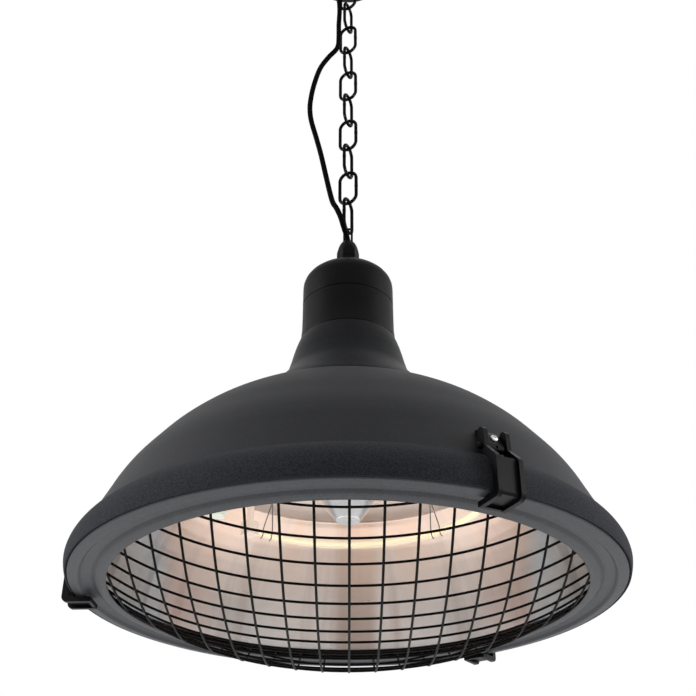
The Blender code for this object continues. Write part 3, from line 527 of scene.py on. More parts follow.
def rubber_sheath(name, colour):
    """Matt rubber with a fine ripple along its length and chalky patches, both on the sheath's own UV map."""
    material, shader, place = new_finish(name, colour, 0.6, **{"Specular IOR Level": RUBBER_SHEEN})
    uv = place.node("ShaderNodeUVMap")
    turns = coordinates(uv)[1] * RIPPLES
    ripple = turns.math("SINE", turns) * 0.5 + 0.5
    skin = noise(uv.stretched(6.0, 160.0, 1.0), 1.0, 4.0)
    feed(shader, Base_Color=skin.between(0.35, 0.75).blend(tint(colour, 0.8), tint(colour, 1.5)),
         Roughness=skin * 0.2 + 0.45, Normal=bump(ripple * 0.4 + skin * 0.6, 0.00006))
    return material


NYLON = moulded_nylon("gland_nylon", (0.0030, 0.0030, 0.0036), 0.36)
LACQUER = chain_lacquer("chain_lacquer", (0.0014, 0.0014, 0.0016))
RUBBER = rubber_sheath("cord_rubber", (0.0018, 0.0018, 0.0020))
print("small finishes:", NYLON.name, LACQUER.name, RUBBER.name)

# %% [markdown]
# ## Bright metal, glass and ceramic
# Near the lamp the reflector takes on the lamp's peach light, and its flank shows soft upright streaks of the
# room. Both have to show on a model without lamps too, so they are tints in its colour: each is one mask and
# one colour, laid over the last.

# %% The lamp's light on the reflector
LAMP_WARM = (0.95, 0.67, 0.51, 1.0)
UMBER = (0.62, 0.52, 0.48, 1.0)
BROWN = (0.40, 0.30, 0.26, 1.0)
COOL_GREY = (0.85, 0.93, 0.97, 1.0)
DARK_GREY = (0.52, 0.55, 0.58, 1.0)
ROSE = (0.95, 0.70, 0.62, 1.0)
CEILING_EDGE, FLANK_START = 0.170, 0.182
WARM_RING_RADIUS, WARM_RING_Z = 0.150, RIM_Z + 0.118
BACK_STREAK_X = 0.010


def lamp_tints(base, place, radius):
    """Painted light and reflections on the flank, not on the ceiling. From the middle out: painted streaks of peach
    and umber with one painted dark brown streak at the back, a rosy edge, then cool grey sides that stand for the
    room's reflection. Last comes painted peach lamp light in a band that fades away from the lamp's ring, by its
    distance from that ring."""
    x, y, z = coordinates(place)
    flank = radius.between(CEILING_EDGE, FLANK_START)
    middle = (1.0 - (x * x).between(0.040, 0.050)) * flank
    side = flank - middle
    spokes = place.node("ShaderNodeCombineXYZ", {}, {0: x / radius * 8.0, 1: y / radius * 8.0, 2: z * 2.0})
    streaks = noise(spokes, 1.0)
    # Painted reflection: a dark brown upright streak at the back of the flank, not a joint in the metal.
    back_dark_streak = 1.0 - ((x - BACK_STREAK_X) * (x - BACK_STREAK_X)).between(0.0002, 0.0010)
    away, height = radius - WARM_RING_RADIUS, z - WARM_RING_Z
    near = 1.0 - ((away * away + height * height) ** 0.5).between(0.03, 0.17)
    for mask, colour in ((side, COOL_GREY),
                         ((1.0 - streaks.between(0.36, 0.52)) * side * 0.6, DARK_GREY),
                         ((1.0 - streaks.between(0.34, 0.56)) * middle * 0.65, UMBER),
                         (back_dark_streak * y.between(0.10, 0.18) * flank * 0.75, BROWN),
                         (middle * 0.10, LAMP_WARM),
                         ((x * x).between(0.020, 0.030) * middle * 0.45, ROSE),
                         (near * middle * (streaks.between(0.35, 0.62) * 0.35 + 0.55), LAMP_WARM)):
        base = mask.blend(base, colour)
    return base


print("the lit flank starts", FLANK_START, "m from the axis")

# %% [markdown]
# The reflector is spun aluminium. A spinning tool leaves hair-fine circles, so its bump is noise read by
# distance from the axis alone. Screws and brackets are zinc plated, and the lamp's clips are spring wire.

# %% Metals
def spun_aluminium(name, colour, lit=False):
    """Circles read by radius and blurred stains, and the lamp's tints where the metal is lit by it."""
    material, shader, place = new_finish(name, colour, 0.3, 1.0)
    x, y, _ = coordinates(place)
    radius = (x * x + y * y) ** 0.5
    lines = place.node("ShaderNodeTexNoise", {"noise_dimensions": "1D"},
                       {"W": radius, "Scale": 500.0, "Detail": 1.0})
    stains = noise(place, 26.0, 2.0)
    base = stains.between(0.3, 0.75).blend(tint(colour, 0.93), tint(colour, 1.05))
    if lit:
        base = lamp_tints(base, place, radius)
    feed(shader, Base_Color=base, Roughness=stains * 0.12 + lines * 0.06 + 0.22, Normal=bump(lines, 0.00003))
    return material


def plated_steel(name, colour, roughness):
    """Zinc or bare steel with fine scratches and dull spots."""
    material, shader, place = new_finish(name, colour, roughness, 1.0)
    dull, fine = noise(place, 300.0, 4.0), noise(place, 2400.0, 2.0)
    feed(shader, Base_Color=dull.between(0.35, 0.7).blend(tint(colour, 0.85), tint(colour, 1.05)),
         Roughness=dull * 0.3 + (roughness - 0.1), Normal=bump(fine, 0.00002))
    return material


ALUMINIUM = spun_aluminium("reflector_aluminium", (0.94, 0.94, 0.94), lit=True)
PLAIN_ALUMINIUM = spun_aluminium("shield_aluminium", (0.78, 0.78, 0.78))
ZINC = plated_steel("zinc_plate_finish", (0.86, 0.87, 0.88), 0.42)
SPRING = plated_steel("spring_wire", (0.36, 0.33, 0.30), 0.36)
print("metals:", ALUMINIUM.name, ZINC.name, SPRING.name)

# %% [markdown]
# The lamp is a quartz tube with a coil that glows. Lit, it is a pale yellow band with a brighter, slightly
# ragged core. The tube's own shell is thin and clear, so it lets most light through and keeps a sheen. The
# lamp's ends are matt pale ceramic with the lamp's light painted in as a glow, and the end behind the tube is
# painted peach, as the tube's light on it.
# The gasket is dark silicone.

# %% Lamp, ceramic and silicone
TUBE_GLOW, COIL_GLOW, END_GLOW, LIT_END_GLOW = 0.28, 1.1, 0.30, 0.36
TUBE_CLEARNESS = 0.42
SPECKS, SPECK_DEPTH = 350.0, 0.00006


def lamp_finishes():
    """The clear tube and the glowing coil."""
    tube_skin, shader, place = new_finish("lamp_quartz", (1.0, 0.95, 0.80), 0.08,
                                          **{"Alpha": TUBE_CLEARNESS, "Emission Strength": TUBE_GLOW})
    haze = noise(place, 90.0)
    feed(shader, Emission_Color=haze.between(0.3, 0.7).blend((1.0, 0.86, 0.52, 1.0), (1.0, 0.93, 0.68, 1.0)),
         Roughness=haze * 0.1 + 0.04)
    coil, shader, place = new_finish("glowing_coil", (1.0, 0.8, 0.45), 0.5, **{"Emission Strength": COIL_GLOW})
    heat = noise(place, 60.0, 2.0)
    feed(shader, Emission_Color=heat.between(0.3, 0.7).blend((1.0, 0.78, 0.46, 1.0), (1.0, 0.90, 0.64, 1.0)))
    return tube_skin, coil


def matt_solid(name, colour, roughness, scale, depth, glow=0.0):
    """Ceramic or silicone: speckle in the colour and a fine pitted bump. Where glow is given, a glow in the
    colour's own tint is painted in, as painted light from the lamp in the ceramic."""
    material, shader, place = new_finish(name, colour, roughness,
                                         **{"Emission Color": (*colour, 1.0), "Emission Strength": glow})
    speck, pits = noise(place, scale, 4.0), noise(place, scale * 6.0, 2.0)
    feed(shader, Base_Color=speck.between(0.3, 0.7).blend(tint(colour, 0.88), tint(colour, 1.06)),
         Roughness=speck * 0.15 + (roughness - 0.08), Normal=bump(pits, depth))
    return material


LAMP_QUARTZ, GLOWING_COIL = lamp_finishes()
CERAMIC = matt_solid("lamp_ceramic", (0.84, 0.86, 0.80), 0.55, SPECKS, SPECK_DEPTH)
# Painted light: both lamp-end ceramics glow with the lamp's light, and the lit end is a peach copy of the ceramic.
LAMP_CERAMIC = matt_solid("lamp_end_ceramic", (0.88, 0.93, 0.84), 0.55, SPECKS, SPECK_DEPTH, END_GLOW)
LIT_CERAMIC = matt_solid("lit_end_ceramic", (0.96, 0.78, 0.66), 0.55, SPECKS, SPECK_DEPTH, LIT_END_GLOW)
SILICONE = matt_solid("gasket_silicone_finish", (0.06, 0.06, 0.06), 0.7, 240.0, 0.00008)
print("lamp finishes:", LAMP_QUARTZ.name, GLOWING_COIL.name, CERAMIC.name, SILICONE.name)

# %% [markdown]
# ## The cord
# The mains cord is 7 mm rubber. It leaves the gland, leans out towards the viewer past the first link, bows
# away from the chain and comes back to it two thirds of the way up, then follows it to a grip in the canopy.
# It is cut in two where it meets the chain, because its lower half swings with the heater and its upper half
# with the chain.

# %% Cord routes
CORD_RADIUS = 0.0035
LOWER_ROUTE = [(0.89, 1.9, 441.3), (0.89, 1.9, 443.5), (0.54, 1.15, 448.8), (-0.5, -1.07, 455.1),
               (-2.15, -4.61, 460.7), (-6.43, -13.77, 470.6), (-9.8, -16.6, 481.5), (-14.8, -16.8, 494.5),
               (-20.6, -15, 509), (-28.3, -13.5, 548), (-35.6, -12.5, 587.5), (-42.6, -12, 619.4),
               (-49.8, -12, 650), (-52.2, -12, 671), (-51.6, -12, 690), (-47.6, -11.5, 719),
               (-39.4, -10, 753.5), (-27.6, -7.6, 779), (-17.8, -5, 796), (-14.3, -3.7, 808),
               (-13.5, -3, 824), (-13.5, -3, 839.8)]
UPPER_ROUTE = [(-13.5, -3, 840.2), (-13.5, -3, 852), (-12.9, -3, 868), (-12.5, -3, 884), (-13.4, -3, 902),
               (-17, -3, 919), (-23.6, -3, 936), (-27, -3, 950), (-27, -3, 959.7)]


def make_cord(name, route):
    """One stretch of cord: a tube along a curve through its route, on no body."""
    path = curve_through(np.array(route) * MM + (0.0, 0.0, RIM_Z), 8)
    cord = piece(name + "_sheath", name, [tube(path, CORD_RADIUS, X_AXIS, 20)], RUBBER, None)
    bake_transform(cord)


make_cord("cord_lower", LOWER_ROUTE)
make_cord("cord_upper", UPPER_ROUTE)

# %% [markdown]
# ## The shade
# The dome and its flange are one pressing. The flank flattens towards the neck and steepens towards the rim.
# A sharp crease parts it from the flange, which flares out, rolls over and ends in a short turned-in lip. The
# inner wall is the outer one moved in by the sheet's thickness, so both are one closed profile.

# %% Dome and flange
def offset_inward(curve, wall):
    """A profile moved to its left-hand side by wall, along the normal of its own direction."""
    slope = np.gradient(curve, axis=0)
    slope /= np.linalg.norm(slope, axis=1, keepdims=True)
    return curve + wall * np.stack([slope[:, 1], -slope[:, 0]], axis=-1)


DOME = [(45, 212.5), (66, 210.9), (88, 208.3), (104, 203.5), (120, 196.6), (143, 184.2), (166, 170.6),
        (188.5, 154.2), (210, 134.2), (227, 114.1), (241, 96), (251, 79.6), (258.5, 64.2), (266, 48.7),
        (273.4, 33.8)]
FLANGE = [(273.4, 33.8), (277.6, 30.2), (281.8, 26), (285.4, 21.2), (287.9, 16.4), (289.3, 12), (289.95, 8),
          (289.8, 4.5), (289.0, 0), (287.8, -4.1)]
LIP = [(287.4, -4.3), (286.4, -4.3)]
SHEET = 2.0


def make_shade():
    """Outer curve down, round the lower lip, and inner curve back up."""
    outer = np.vstack([curve_through(DOME, 6)[:-1], curve_through(FLANGE, 6)])
    inner = offset_inward(outer, SHEET)[::-1]
    return piece("shade_pressing", "main_shade", [turned(np.vstack([outer, LIP, inner]), 240)], SHADE_COAT,
                 "heater", smooth_deg=14.0)


print("shade:", len(make_shade().data.polygons), "faces")

# %% [markdown]
# ## Turned pieces
# The neck, the ring, the gasket and the canopy are all turned, so each is a profile in a list. Corners get a
# radius of their own: large on the cap's shoulder, small where two pieces meet in a fine seam.

# %% Turned profiles
NECK_CAP = [(54.6, 351), (55, 351.6), (55, 376), (54.6, 381), (53, 386), (50, 390.6), (45.5, 395), (38, 400),
            (31, 403), (24, 404.7), (17, 405), (10.4, 405), (9.9, 404.6), (9.9, 400), (17, 399.8), (40, 389),
            (48.8, 376), (48.8, 343.5), (51.5, 343.5), (51.5, 350.5), (54.2, 350.5)]
NECK_COLLAR = [(54.3, 350.2), (55, 349.5), (55, 330), (55.2, 316), (56.5, 300.4), (55.9, 299.6), (51.3, 299.5),
               (51.3, 292), (48.4, 292), (48.4, 342.8), (52, 342.8), (52, 350.2)]
NECK_SKIRT = [(56.5, 299.2), (57.4, 298.5), (59.2, 294), (62, 286), (64.8, 276), (67.2, 266), (69.6, 257.5),
              (71.8, 251), (74.8, 245.4), (79, 239.6), (84.4, 233.2), (90.5, 226.6), (97, 219.4), (102, 213),
              (104.4, 209.2), (105, 207), (105, 203.4), (103.4, 204.2), (88.5, 208.7), (44.6, 212.9), (44.6, 198),
              (40.6, 198), (40.6, 216.4), (86, 212.6), (90, 217.5), (70, 239.5), (60.6, 266), (56.6, 286),
              (51.6, 291.5), (51.6, 299.2)]
FRAME_RING = [(285.1, -0.4), (285.2, -4.4), (284.2, -5.5), (275.6, -7.1), (274.1, -6.9), (272.8, -5.4),
              (271.4, -3.8), (268.8, -3.0), (264, -2.9), (261, -3.5), (259, -5), (257, -6.3), (254, -7.3),
              (251.2, -7.9), (248.8, -7.9), (247.0, -7.8), (246.3, -7.3), (246.8, -6.8), (250, -4.5), (256.9, -4.2),
              (257.3, -0.4)]
GASKET = [(284.7, 3), (284.7, 0.1), (259.1, 0.1), (259.1, 3)]
SEAT = [(286.5, 5.8), (286.5, 3.5), (262.1, 3.5), (262.1, 5.8)]
CANOPY = [(58, 999.4), (58, 976), (57.2, 972.4), (55, 969.8), (51.5, 968.5), (45, 968.1), (3.2, 968), (3.2, 969.5),
          (50.5, 969.9), (54.2, 971.6), (56.4, 976), (56.5, 999.4)]
CANOPY_NUT = [(6.9, 967.6), (6.9, 965), (6.0, 964.1), (2.8, 964.1), (2.8, 967.6)]
GRIP = [(0, 971.9), (4.9, 971.9), (4.9, 967.6), (7.9, 967.6), (7.6, 965), (6.3, 960.1), (0, 960.1)]
PLATE = [(0, 999.98), (51.9, 999.98), (51.9, 997.1), (0, 997.1)]
GRIP_PLACE = (-0.027, -0.003)


def make_turned(name, profile, radius, finish, body, slot, steps=128, centre=(0.0, 0.0)):
    """A turned piece with rounded corners that stands for the node of its name."""
    profile = rounded_open(profile, radius) if profile[0][0] == 0 else rounded(profile, radius)
    piece(name + "_turned", name, [turned(profile, steps, centre)], finish, body)


TURNED = [("neck_cap", NECK_CAP, 0.5, NECK_COAT, "heater", "black_powder_coat"),
          ("neck_collar", NECK_COLLAR, 0.5, NECK_COAT, "heater", "black_powder_coat"),
          ("neck_skirt", NECK_SKIRT, 1.2, NECK_COAT, "heater", "black_powder_coat"),
          ("frame_ring", FRAME_RING, 0.5, RING_COAT, "heater", "frame_powder_coat", 240),
          ("frame_gasket", GASKET, 0.4, SILICONE, "heater", "gasket_silicone", 240),
          ("seat_ring", SEAT, 0.3, SHADE_COAT, "heater", "black_powder_coat", 240),
          ("canopy_cup", CANOPY, 0.5, CEILING_COAT, "ceiling", "black_powder_coat"),
          ("canopy_nut", CANOPY_NUT, 0.4, CEILING_COAT, "ceiling", "black_powder_coat", 48),
          ("cord_grip", GRIP, 0.5, NYLON, "ceiling", "gland_black", 64, GRIP_PLACE),
          ("ceiling_plate", PLATE, 0.4, ZINC, "ceiling", "zinc_plate", 96)]
for row in TURNED:
    make_turned(*row)
print("turned:", ", ".join(row[0] for row in TURNED))

# %% [markdown]
# ## The chain
# Each link is one bent wire whose ends are welded on a long side. Its path is two straight runs and two half
# circles. The weld is a slight swelling of the wire, which is the tube's radius made to rise there. Every
# second link is turned a quarter.

# %% Links
CHAIN_LINKS = 10
CHAIN_WIRE = 0.00445
LINK_LENGTH = 0.056
LINK_WIDTH = 0.028
WELD_REACH, WELD_RISE = 0.0022, 0.10
CHAIN_TURN = math.radians(-25.0)
WIDE = np.array([math.cos(CHAIN_TURN), math.sin(CHAIN_TURN), 0.0])
EDGE = np.array([math.sin(CHAIN_TURN), -math.cos(CHAIN_TURN), 0.0])


def link_path(bend_points=22, side_points=12):
    """Across and along of one link's centre line: half circle, straight, half circle, straight."""
    half = (LINK_WIDTH - CHAIN_WIRE) / 2.0
    straight = (LINK_LENGTH - LINK_WIDTH) / 2.0
    angle = np.linspace(0.0, np.pi, bend_points)
    top = np.stack([half * np.cos(angle), straight + half * np.sin(angle)], axis=-1)
    run = np.linspace(1.0, -1.0, side_points + 2)[1:-1] * straight
    left = np.stack([np.full(len(run), -half), run], axis=-1)
    return np.vstack([top, left, -top, -left])


def make_links():
    """Links on the heater's axis, each a quarter turn from the next. The weld is a bell curve along one side."""
    path = link_path()
    weld = np.exp(-(path[:, 1] / WELD_REACH) ** 2) * (path[:, 0] > 0.0)
    radius = CHAIN_WIRE / 2.0 * (1.0 + WELD_RISE * weld)
    for index in range(CHAIN_LINKS):
        across, normal = (WIDE, EDGE) if index % 2 else (EDGE, WIDE)
        centre = UP * (LOWEST_LINK_Z + index * CHAIN_PITCH)
        line = centre + path[:, :1] * across + path[:, 1:] * UP
        name = "chain_link_%02d" % (index + 1)
        piece(name + "_wire", name, [tube(line, radius, normal, 14, closed=True)], LACQUER, "chain")
    return len(path)


print("links:", CHAIN_LINKS, "of", make_links(), "rings each")

# %% [markdown]
# ## Hook and loop
# The ceiling hook is a bent rod, a hair thinner than its solid. The loop is an upside-down U of thin wire that
# grips a hollow stem, through which the cord leaves.

# %% Hook and loop
HOOK_WIRE = 0.00495
HOOK_RADIUS = 0.0095
HOOK_BAR_Z = -0.06285
HOOK_SWEEP = (-10.0, 195.0)
LOOP_WIRE = 0.0028
LOOP_HALF_WIDTH = 0.00535
LOOP_BAR_Z = -0.52665
LOOP_FOOT_Z = RIM_Z + 0.4472
HOOK_STEM = [(0.0, -0.0034), (0.0, -0.025), (0.0, -0.037), (0.0019, -0.0425), (0.0066, -0.0473)]
LOOP_STEM = [(6.6, 451.4), (6.6, 443.1), (8.7, 443.1), (8.7, 441.4), (5.9, 441.4), (5.9, 451.4)]


def make_hook():
    """Stem, side bend and round bottom in the plane of the edge-on links."""
    centre_z = HOOK_BAR_Z + HOOK_RADIUS
    angle = np.radians(np.linspace(*HOOK_SWEEP, 12))
    bowl = np.stack([HOOK_RADIUS * np.cos(angle), centre_z - HOOK_RADIUS * np.sin(angle)], axis=-1)
    line = curve_through(np.vstack([HOOK_STEM, bowl]), 6)
    path = line[:, :1] * EDGE + line[:, 1:] * UP
    return piece("ceiling_hook_rod", "ceiling_hook", [tube(path, HOOK_WIRE / 2.0, WIDE, 20)], CEILING_COAT,
                 "ceiling")


def make_loop():
    """U of wire, with its feet on the stem's wall, and the stem with its flange."""
    centre_z = LOOP_BAR_Z - LOOP_HALF_WIDTH
    angle = np.linspace(0.0, np.pi, 25)
    bow = np.stack([LOOP_HALF_WIDTH * np.cos(angle), centre_z + LOOP_HALF_WIDTH * np.sin(angle)], axis=-1)
    runs = np.linspace(LOOP_FOOT_Z, centre_z, 8)[:-1]
    leg = np.stack([np.full(len(runs), LOOP_HALF_WIDTH), runs], axis=-1)
    line = np.vstack([leg, bow, leg[::-1] * (-1.0, 1.0)])
    path = line[:, :1] * WIDE + line[:, 1:] * UP
    shapes = [tube(path, LOOP_WIRE / 2.0, EDGE, 16), turned(rounded(LOOP_STEM, 0.3), 64)]
    return piece("suspension_loop_wire", "suspension_loop", shapes, NYLON, "heater")


print("hook:", len(make_hook().data.polygons), "faces, loop:", len(make_loop().data.polygons))

# %% [markdown]
# ## The gland
# The gland's cap nut and body are hexagons with a domed or chamfered top: at each height and angle, the radius
# is the smaller of a hexagon's and a turned profile's. One pair of flats faces the way the wide links do.

# %% Hexagon pieces
NUT_OUTER = [(7.1, 449.9), (7.9, 449.7), (9, 448.6), (10.9, 445), (12.6, 439.4), (13.9, 433.8), (14.5, 428.5),
             (14.5, 425.9), (13.7, 424.9)]
NUT_INNER = [(9.8, 424.9), (9.8, 443.4), (7.1, 443.6)]
BODY_OUTER = [(9.3, 440.8), (9.4, 424.4), (13.4, 424.3), (14.4, 423.3), (14.4, 406.2), (13.6, 405.4), (9.6, 405.3),
              (9.6, 391.2)]
HALF_FLATS = 12.5
CORNER_EASE = 0.35
TO_CORNER = np.pi / 6.0


def hexagon(angle):
    """Radius of the hexagon at each angle: half the distance across flats, over the cosine of the angle to the
    nearest flat. The corners are eased by the eighth power of how far that angle is on the way to one."""
    nearest = (angle + TO_CORNER) % (2.0 * TO_CORNER) - TO_CORNER
    return HALF_FLATS / np.cos(nearest) - CORNER_EASE * (np.abs(nearest) / TO_CORNER) ** 8


def hexed(profile, steps=144):
    """Rings of a turned profile cut to the hexagon: the smaller of the two radii at each angle."""
    angle = full_turn(steps)
    radius = np.minimum(profile[:, :1], hexagon(angle - CHAIN_TURN)) * MM
    height = np.broadcast_to(profile[:, 1:] * MM + RIM_Z, radius.shape)
    return np.stack([radius * np.cos(angle), radius * np.sin(angle), height], axis=-1)


def make_gland():
    """Cap nut with its bore, and the body with its spigot and shank."""
    nut = loft(hexed(np.vstack([curve_through(NUT_OUTER, 4), rounded_open(NUT_INNER, 0.2)[1:]])), wrap=True)
    body = loft(hexed(rounded_open(BODY_OUTER, 0.3)), start="flat", end="flat")
    for name, node, shape in (("gland_cap_nut", "gland_nut", nut), ("gland_body_hex", "gland_body", body)):
        piece(name, node, [shape], NYLON, "heater", smooth_deg=28.0)


make_gland()
print("gland hexagon corner:", round(float(hexagon(TO_CORNER)), 2), "mm")

# %% [markdown]
# ## The grille
# Two families of wires cross at right angles, 30 mm apart, and follow one shallow dome. Where they cross they
# are pressed and welded into each other, so each family sits only a little off the dome. A wire is the dome
# cut by an upright plane: its height is the dome's formula at each point along it. Its ends sit in the ring's
# channel, on a hoop of the same wire.

# %% Grille wires
GRILLE_EDGE_RADIUS = 0.250
GRILLE_EDGE_Z = RIM_Z - 0.0019
GRILLE_DEPTH = 0.0632
GRILLE_FULLNESS = 0.34
GRILLE_PITCH = 0.030
GRILLE_WIRE = 0.0025
GRILLE_WIRES = 17
GRILLE_SHIFT = (0.0012, 0.0036)
GRILLE_STEP = 0.004
CROSSING_LIFT = 0.0009


def grille_height(radius):
    """Depth falls from the middle to the edge as 1 minus the radius squared, kept full by a second term."""
    share = np.minimum(radius / GRILLE_EDGE_RADIUS, 1.0) ** 2
    return GRILLE_EDGE_Z - GRILLE_DEPTH * (1.0 - share) * (1.0 + GRILLE_FULLNESS * share)


def make_grille():
    """Wires of both families and the hoop that carries their ends."""
    shapes = []
    half = GRILLE_WIRES // 2
    for axis in (0, 1):
        for offset in np.arange(-half, half + 1) * GRILLE_PITCH + GRILLE_SHIFT[axis]:
            reach = math.sqrt(GRILLE_EDGE_RADIUS ** 2 - offset ** 2)
            run = np.linspace(-reach, reach, max(9, int(reach / GRILLE_STEP)))
            path = np.zeros((len(run), 3))
            path[:, axis], path[:, 1 - axis] = offset, run
            path[:, 2] = grille_height(np.hypot(offset, run)) + axis * CROSSING_LIFT
            shapes.append(tube(path, GRILLE_WIRE / 2.0, (X_AXIS, Y_AXIS)[axis], 8))
    angle = full_turn(180)
    hoop = GRILLE_EDGE_RADIUS * (np.cos(angle)[:, None] * X_AXIS + np.sin(angle)[:, None] * Y_AXIS)
    shapes.append(tube(hoop + GRILLE_EDGE_Z * UP, GRILLE_WIRE / 2.0, UP, 10, closed=True))
    return piece("grille_wires", "grille_mesh", shapes, WIRE_COAT, "heater")


print("grille:", len(make_grille().data.polygons), "faces")

# %% [markdown]
# ## Reflector
# Spun aluminium a millimetre thick: a flange that lies on the seat ring, a flank in smooth steps, a flat
# ceiling and a cone in the middle that throws light from above the lamp outwards. Its profile is again one
# closed curve, out along the lower face and back along the upper.

# %% Reflector surface
REFLECTOR = [(12.6, 75), (13.4, 75.5), (24, 89.6), (38, 108.3), (52, 127), (61, 139), (64, 142.6), (69, 145.2),
             (74, 145.5), (174, 145.5), (178, 144.9), (180.6, 142.4), (184, 139.4), (197, 131), (209, 119.8),
             (219, 108), (228, 95.5), (235, 84), (241.5, 70.5), (246.3, 59), (250, 46), (253.6, 30), (256.4, 15),
             (258, 8.4), (259.4, 6.8), (262, 6.4), (279.8, 6.3)]
CONE_TIP, CONE_TIP_INSIDE = (0, 75), (0, 76)
SPUN_SHEET = 1.0


def make_reflector():
    """Lower face from the cone's tip to the rim, and the same face moved up by the metal's thickness."""
    lower = rounded_open(REFLECTOR, 2.2, 3)
    upper = offset_inward(lower, -SPUN_SHEET)[::-1]
    shape = turned(np.vstack([CONE_TIP, lower, upper, CONE_TIP_INSIDE]), 192)
    return piece("reflector_spinning", "reflector", [shape], ALUMINIUM, "heater",
                 smooth_deg=30.0)


print("reflector:", len(make_reflector().data.polygons), "faces")

# %% [markdown]
# ## The ring lamp
# Four clips of spring wire carry the lamp's tube. Each is a V with its point at the reflector's ceiling. A leg
# goes down on either side of the clip's angle and curls round the tube's side.

# %% Lamp clips
CLIP_ANGLES = (44.0, 136.0, 220.0, 316.0)
CLIP_SPREAD = 2.4
CLIP_TOP = (141.0, 144.2)
CLIP_CURL = [(153.6, 99.4), (150.4, 101.2), (148.6, 106), (148.0, 112)]
CLIP_WIRE = 0.0014


def on_ring(angle_deg, radius, z):
    """Points round the heater's axis; 0 degrees is towards the viewer, turning to the right."""
    angle = np.radians(np.asarray(angle_deg, float))
    return np.stack([radius * np.sin(angle), -radius * np.cos(angle), z + np.zeros_like(angle)], axis=-1)


def make_clips():
    """Each leg is a smooth curve of its own, so that the V keeps a sharp point."""
    for index, angle in enumerate(CLIP_ANGLES, start=1):
        legs = [[on_ring(angle + side * CLIP_SPREAD, r * MM, RIM_Z + z * MM) for r, z in CLIP_CURL]
                for side in (-1.0, 1.0)]
        top = on_ring(angle, CLIP_TOP[0] * MM, RIM_Z + CLIP_TOP[1] * MM)
        path = np.vstack([curve_through([*legs[0], top], 6)[:-1], curve_through([top, *legs[1][::-1]], 6)])
        name = "lamp_clip_%d" % index
        piece(name + "_wire", name, [tube(path, CLIP_WIRE / 2.0, on_ring(angle, 1.0, 0.0), 8)], SPRING, "heater")


make_clips()
print("clips at", CLIP_ANGLES, "degrees")

# %% [markdown]
# The lamp is a quartz tube bent to an open ring, with a coil inside and a ceramic block on each end. The coil
# is a helix carried round the ring: its centre goes round once while a small circle goes round 210 times.

# %% Tube and coil
LAMP_RADIUS = 0.156
LAMP_Z = RIM_Z + 0.108
LAMP_TUBE = 0.010
LAMP_GAP_AT = 240.0
LAMP_HALF_GAP = 15.0
COIL_TURNS = 210
COIL_RADIUS, COIL_RAGGED, COIL_WIRE = 0.0021, 0.0004, 0.00042
SLOW_BEATS = (0.137, 0.053)


def make_lamp():
    """Open tube with walls, and the helix inside it, whose radius swells and shrinks by two slow waves."""
    turn = np.linspace(LAMP_GAP_AT + LAMP_HALF_GAP, LAMP_GAP_AT + 360.0 - LAMP_HALF_GAP, 181)
    shell = tube(on_ring(turn, LAMP_RADIUS, LAMP_Z), LAMP_TUBE / 2.0, UP, 20, dome=False)
    piece("ring_lamp_tube", "ring_lamp", [shell], LAMP_QUARTZ, "heater")
    fine = np.linspace(turn[0] + 0.5, turn[-1] - 0.5, COIL_TURNS * 10)
    phase = np.linspace(0.0, 2.0 * np.pi * COIL_TURNS, len(fine))
    wobble = COIL_RADIUS + COIL_RAGGED * np.sin(phase * SLOW_BEATS[0]) * np.sin(phase * SLOW_BEATS[1])
    middle, outward = on_ring(fine, LAMP_RADIUS, LAMP_Z), on_ring(fine, 1.0, 0.0)
    helix = middle + wobble[:, None] * (np.cos(phase)[:, None] * outward + np.sin(phase)[:, None] * UP)
    coil = tube(helix, COIL_WIRE, helix - middle, 5)
    piece("lamp_coil", "lamp_filament", [coil], GLOWING_COIL, "heater")
    return len(fine)


print("coil rings:", make_lamp())

# %% [markdown]
# ## Latches
# Three toggle latches hold the ring against the flange. A lever is a cast channel that faces outwards: two
# side walls with a plate between them, ears above that take the pin, and a foot that hooks under the ring.
# The walls are flat outlines pushed sideways, so a latch is worked out in its own plane, distance from the
# axis and height, and then turned to its place on the rim.

# %% Latch outlines
LATCH_AZIMUTHS = (27.0, -93.0, 145.0)
PIN_PLACE, SCREW_PLACE, DIMPLE_PLACE = np.array([(277.0, 0.0, 39.5), (277.45, 0.0, 48.85), (281.3, 0.0, 39.5)]) * MM
DOME_NORMAL = np.array([0.90, 0.0, 0.436])
LEVER_WALL = [(274.8, 57.5), (278.8, 57.5), (281.6, 55), (282.4, 50), (282.8, 38.5), (285.5, 35),
              (296, 25), (297.6, 22), (297.6, -8.5), (296.2, -11.6), (293, -13.4), (266.3, -13.4),
              (266.3, -8.2), (288.6, -8.2), (291.5, -5.6), (291.5, 9), (290.4, 15.6), (287.9, 21),
              (279.4, 31.4), (275.8, 36.5), (273.6, 40), (272.6, 46), (272.4, 52), (273.1, 55.8)]
LEVER_PLATE = [(291.7, 24), (294.5, 24), (294.5, -8), (292.8, -10.2), (269.6, -10.2), (269.6, -13),
               (266.5, -13), (266.5, -8.4), (288.5, -8.4), (291.7, -5.5)]
LEVER_WALL_INSIDE = 9.15
LEVER_WALL_OUTSIDE = 13.65
BRACKET = [(262.2, 63.3), (272.6, 56.6), (275.5, 52.9), (279.4, 44.8), (280.6, 42.2), (281.3, 39.5),
           (280.3, 36.7), (277, 35.2), (274.4, 36.6), (271.6, 40.4), (266.5, 48.8), (259.9, 62.2)]
BRACKET_HALF_WIDTH = 7.6
print("a lever is", 2.0 * LEVER_WALL_OUTSIDE, "mm wide, its bracket", 2.0 * BRACKET_HALF_WIDTH)

# %% [markdown]
# Two small helpers make the solids of a latch: a plate from a flat outline, and a rod for each hole.

# %% Plates and rods
def plate(outline, low, high):
    """A flat outline in the plane of distance and height, in millimetres, pushed from low to high sideways."""
    outline = np.asarray(outline, float)
    rings = np.empty((2, len(outline), 3))
    rings[..., 0], rings[..., 2] = outline[:, 0] * MM, outline[:, 1] * MM
    rings[0, :, 1], rings[1, :, 1] = low * MM, high * MM
    return loft(rings, start="flat", end="flat")


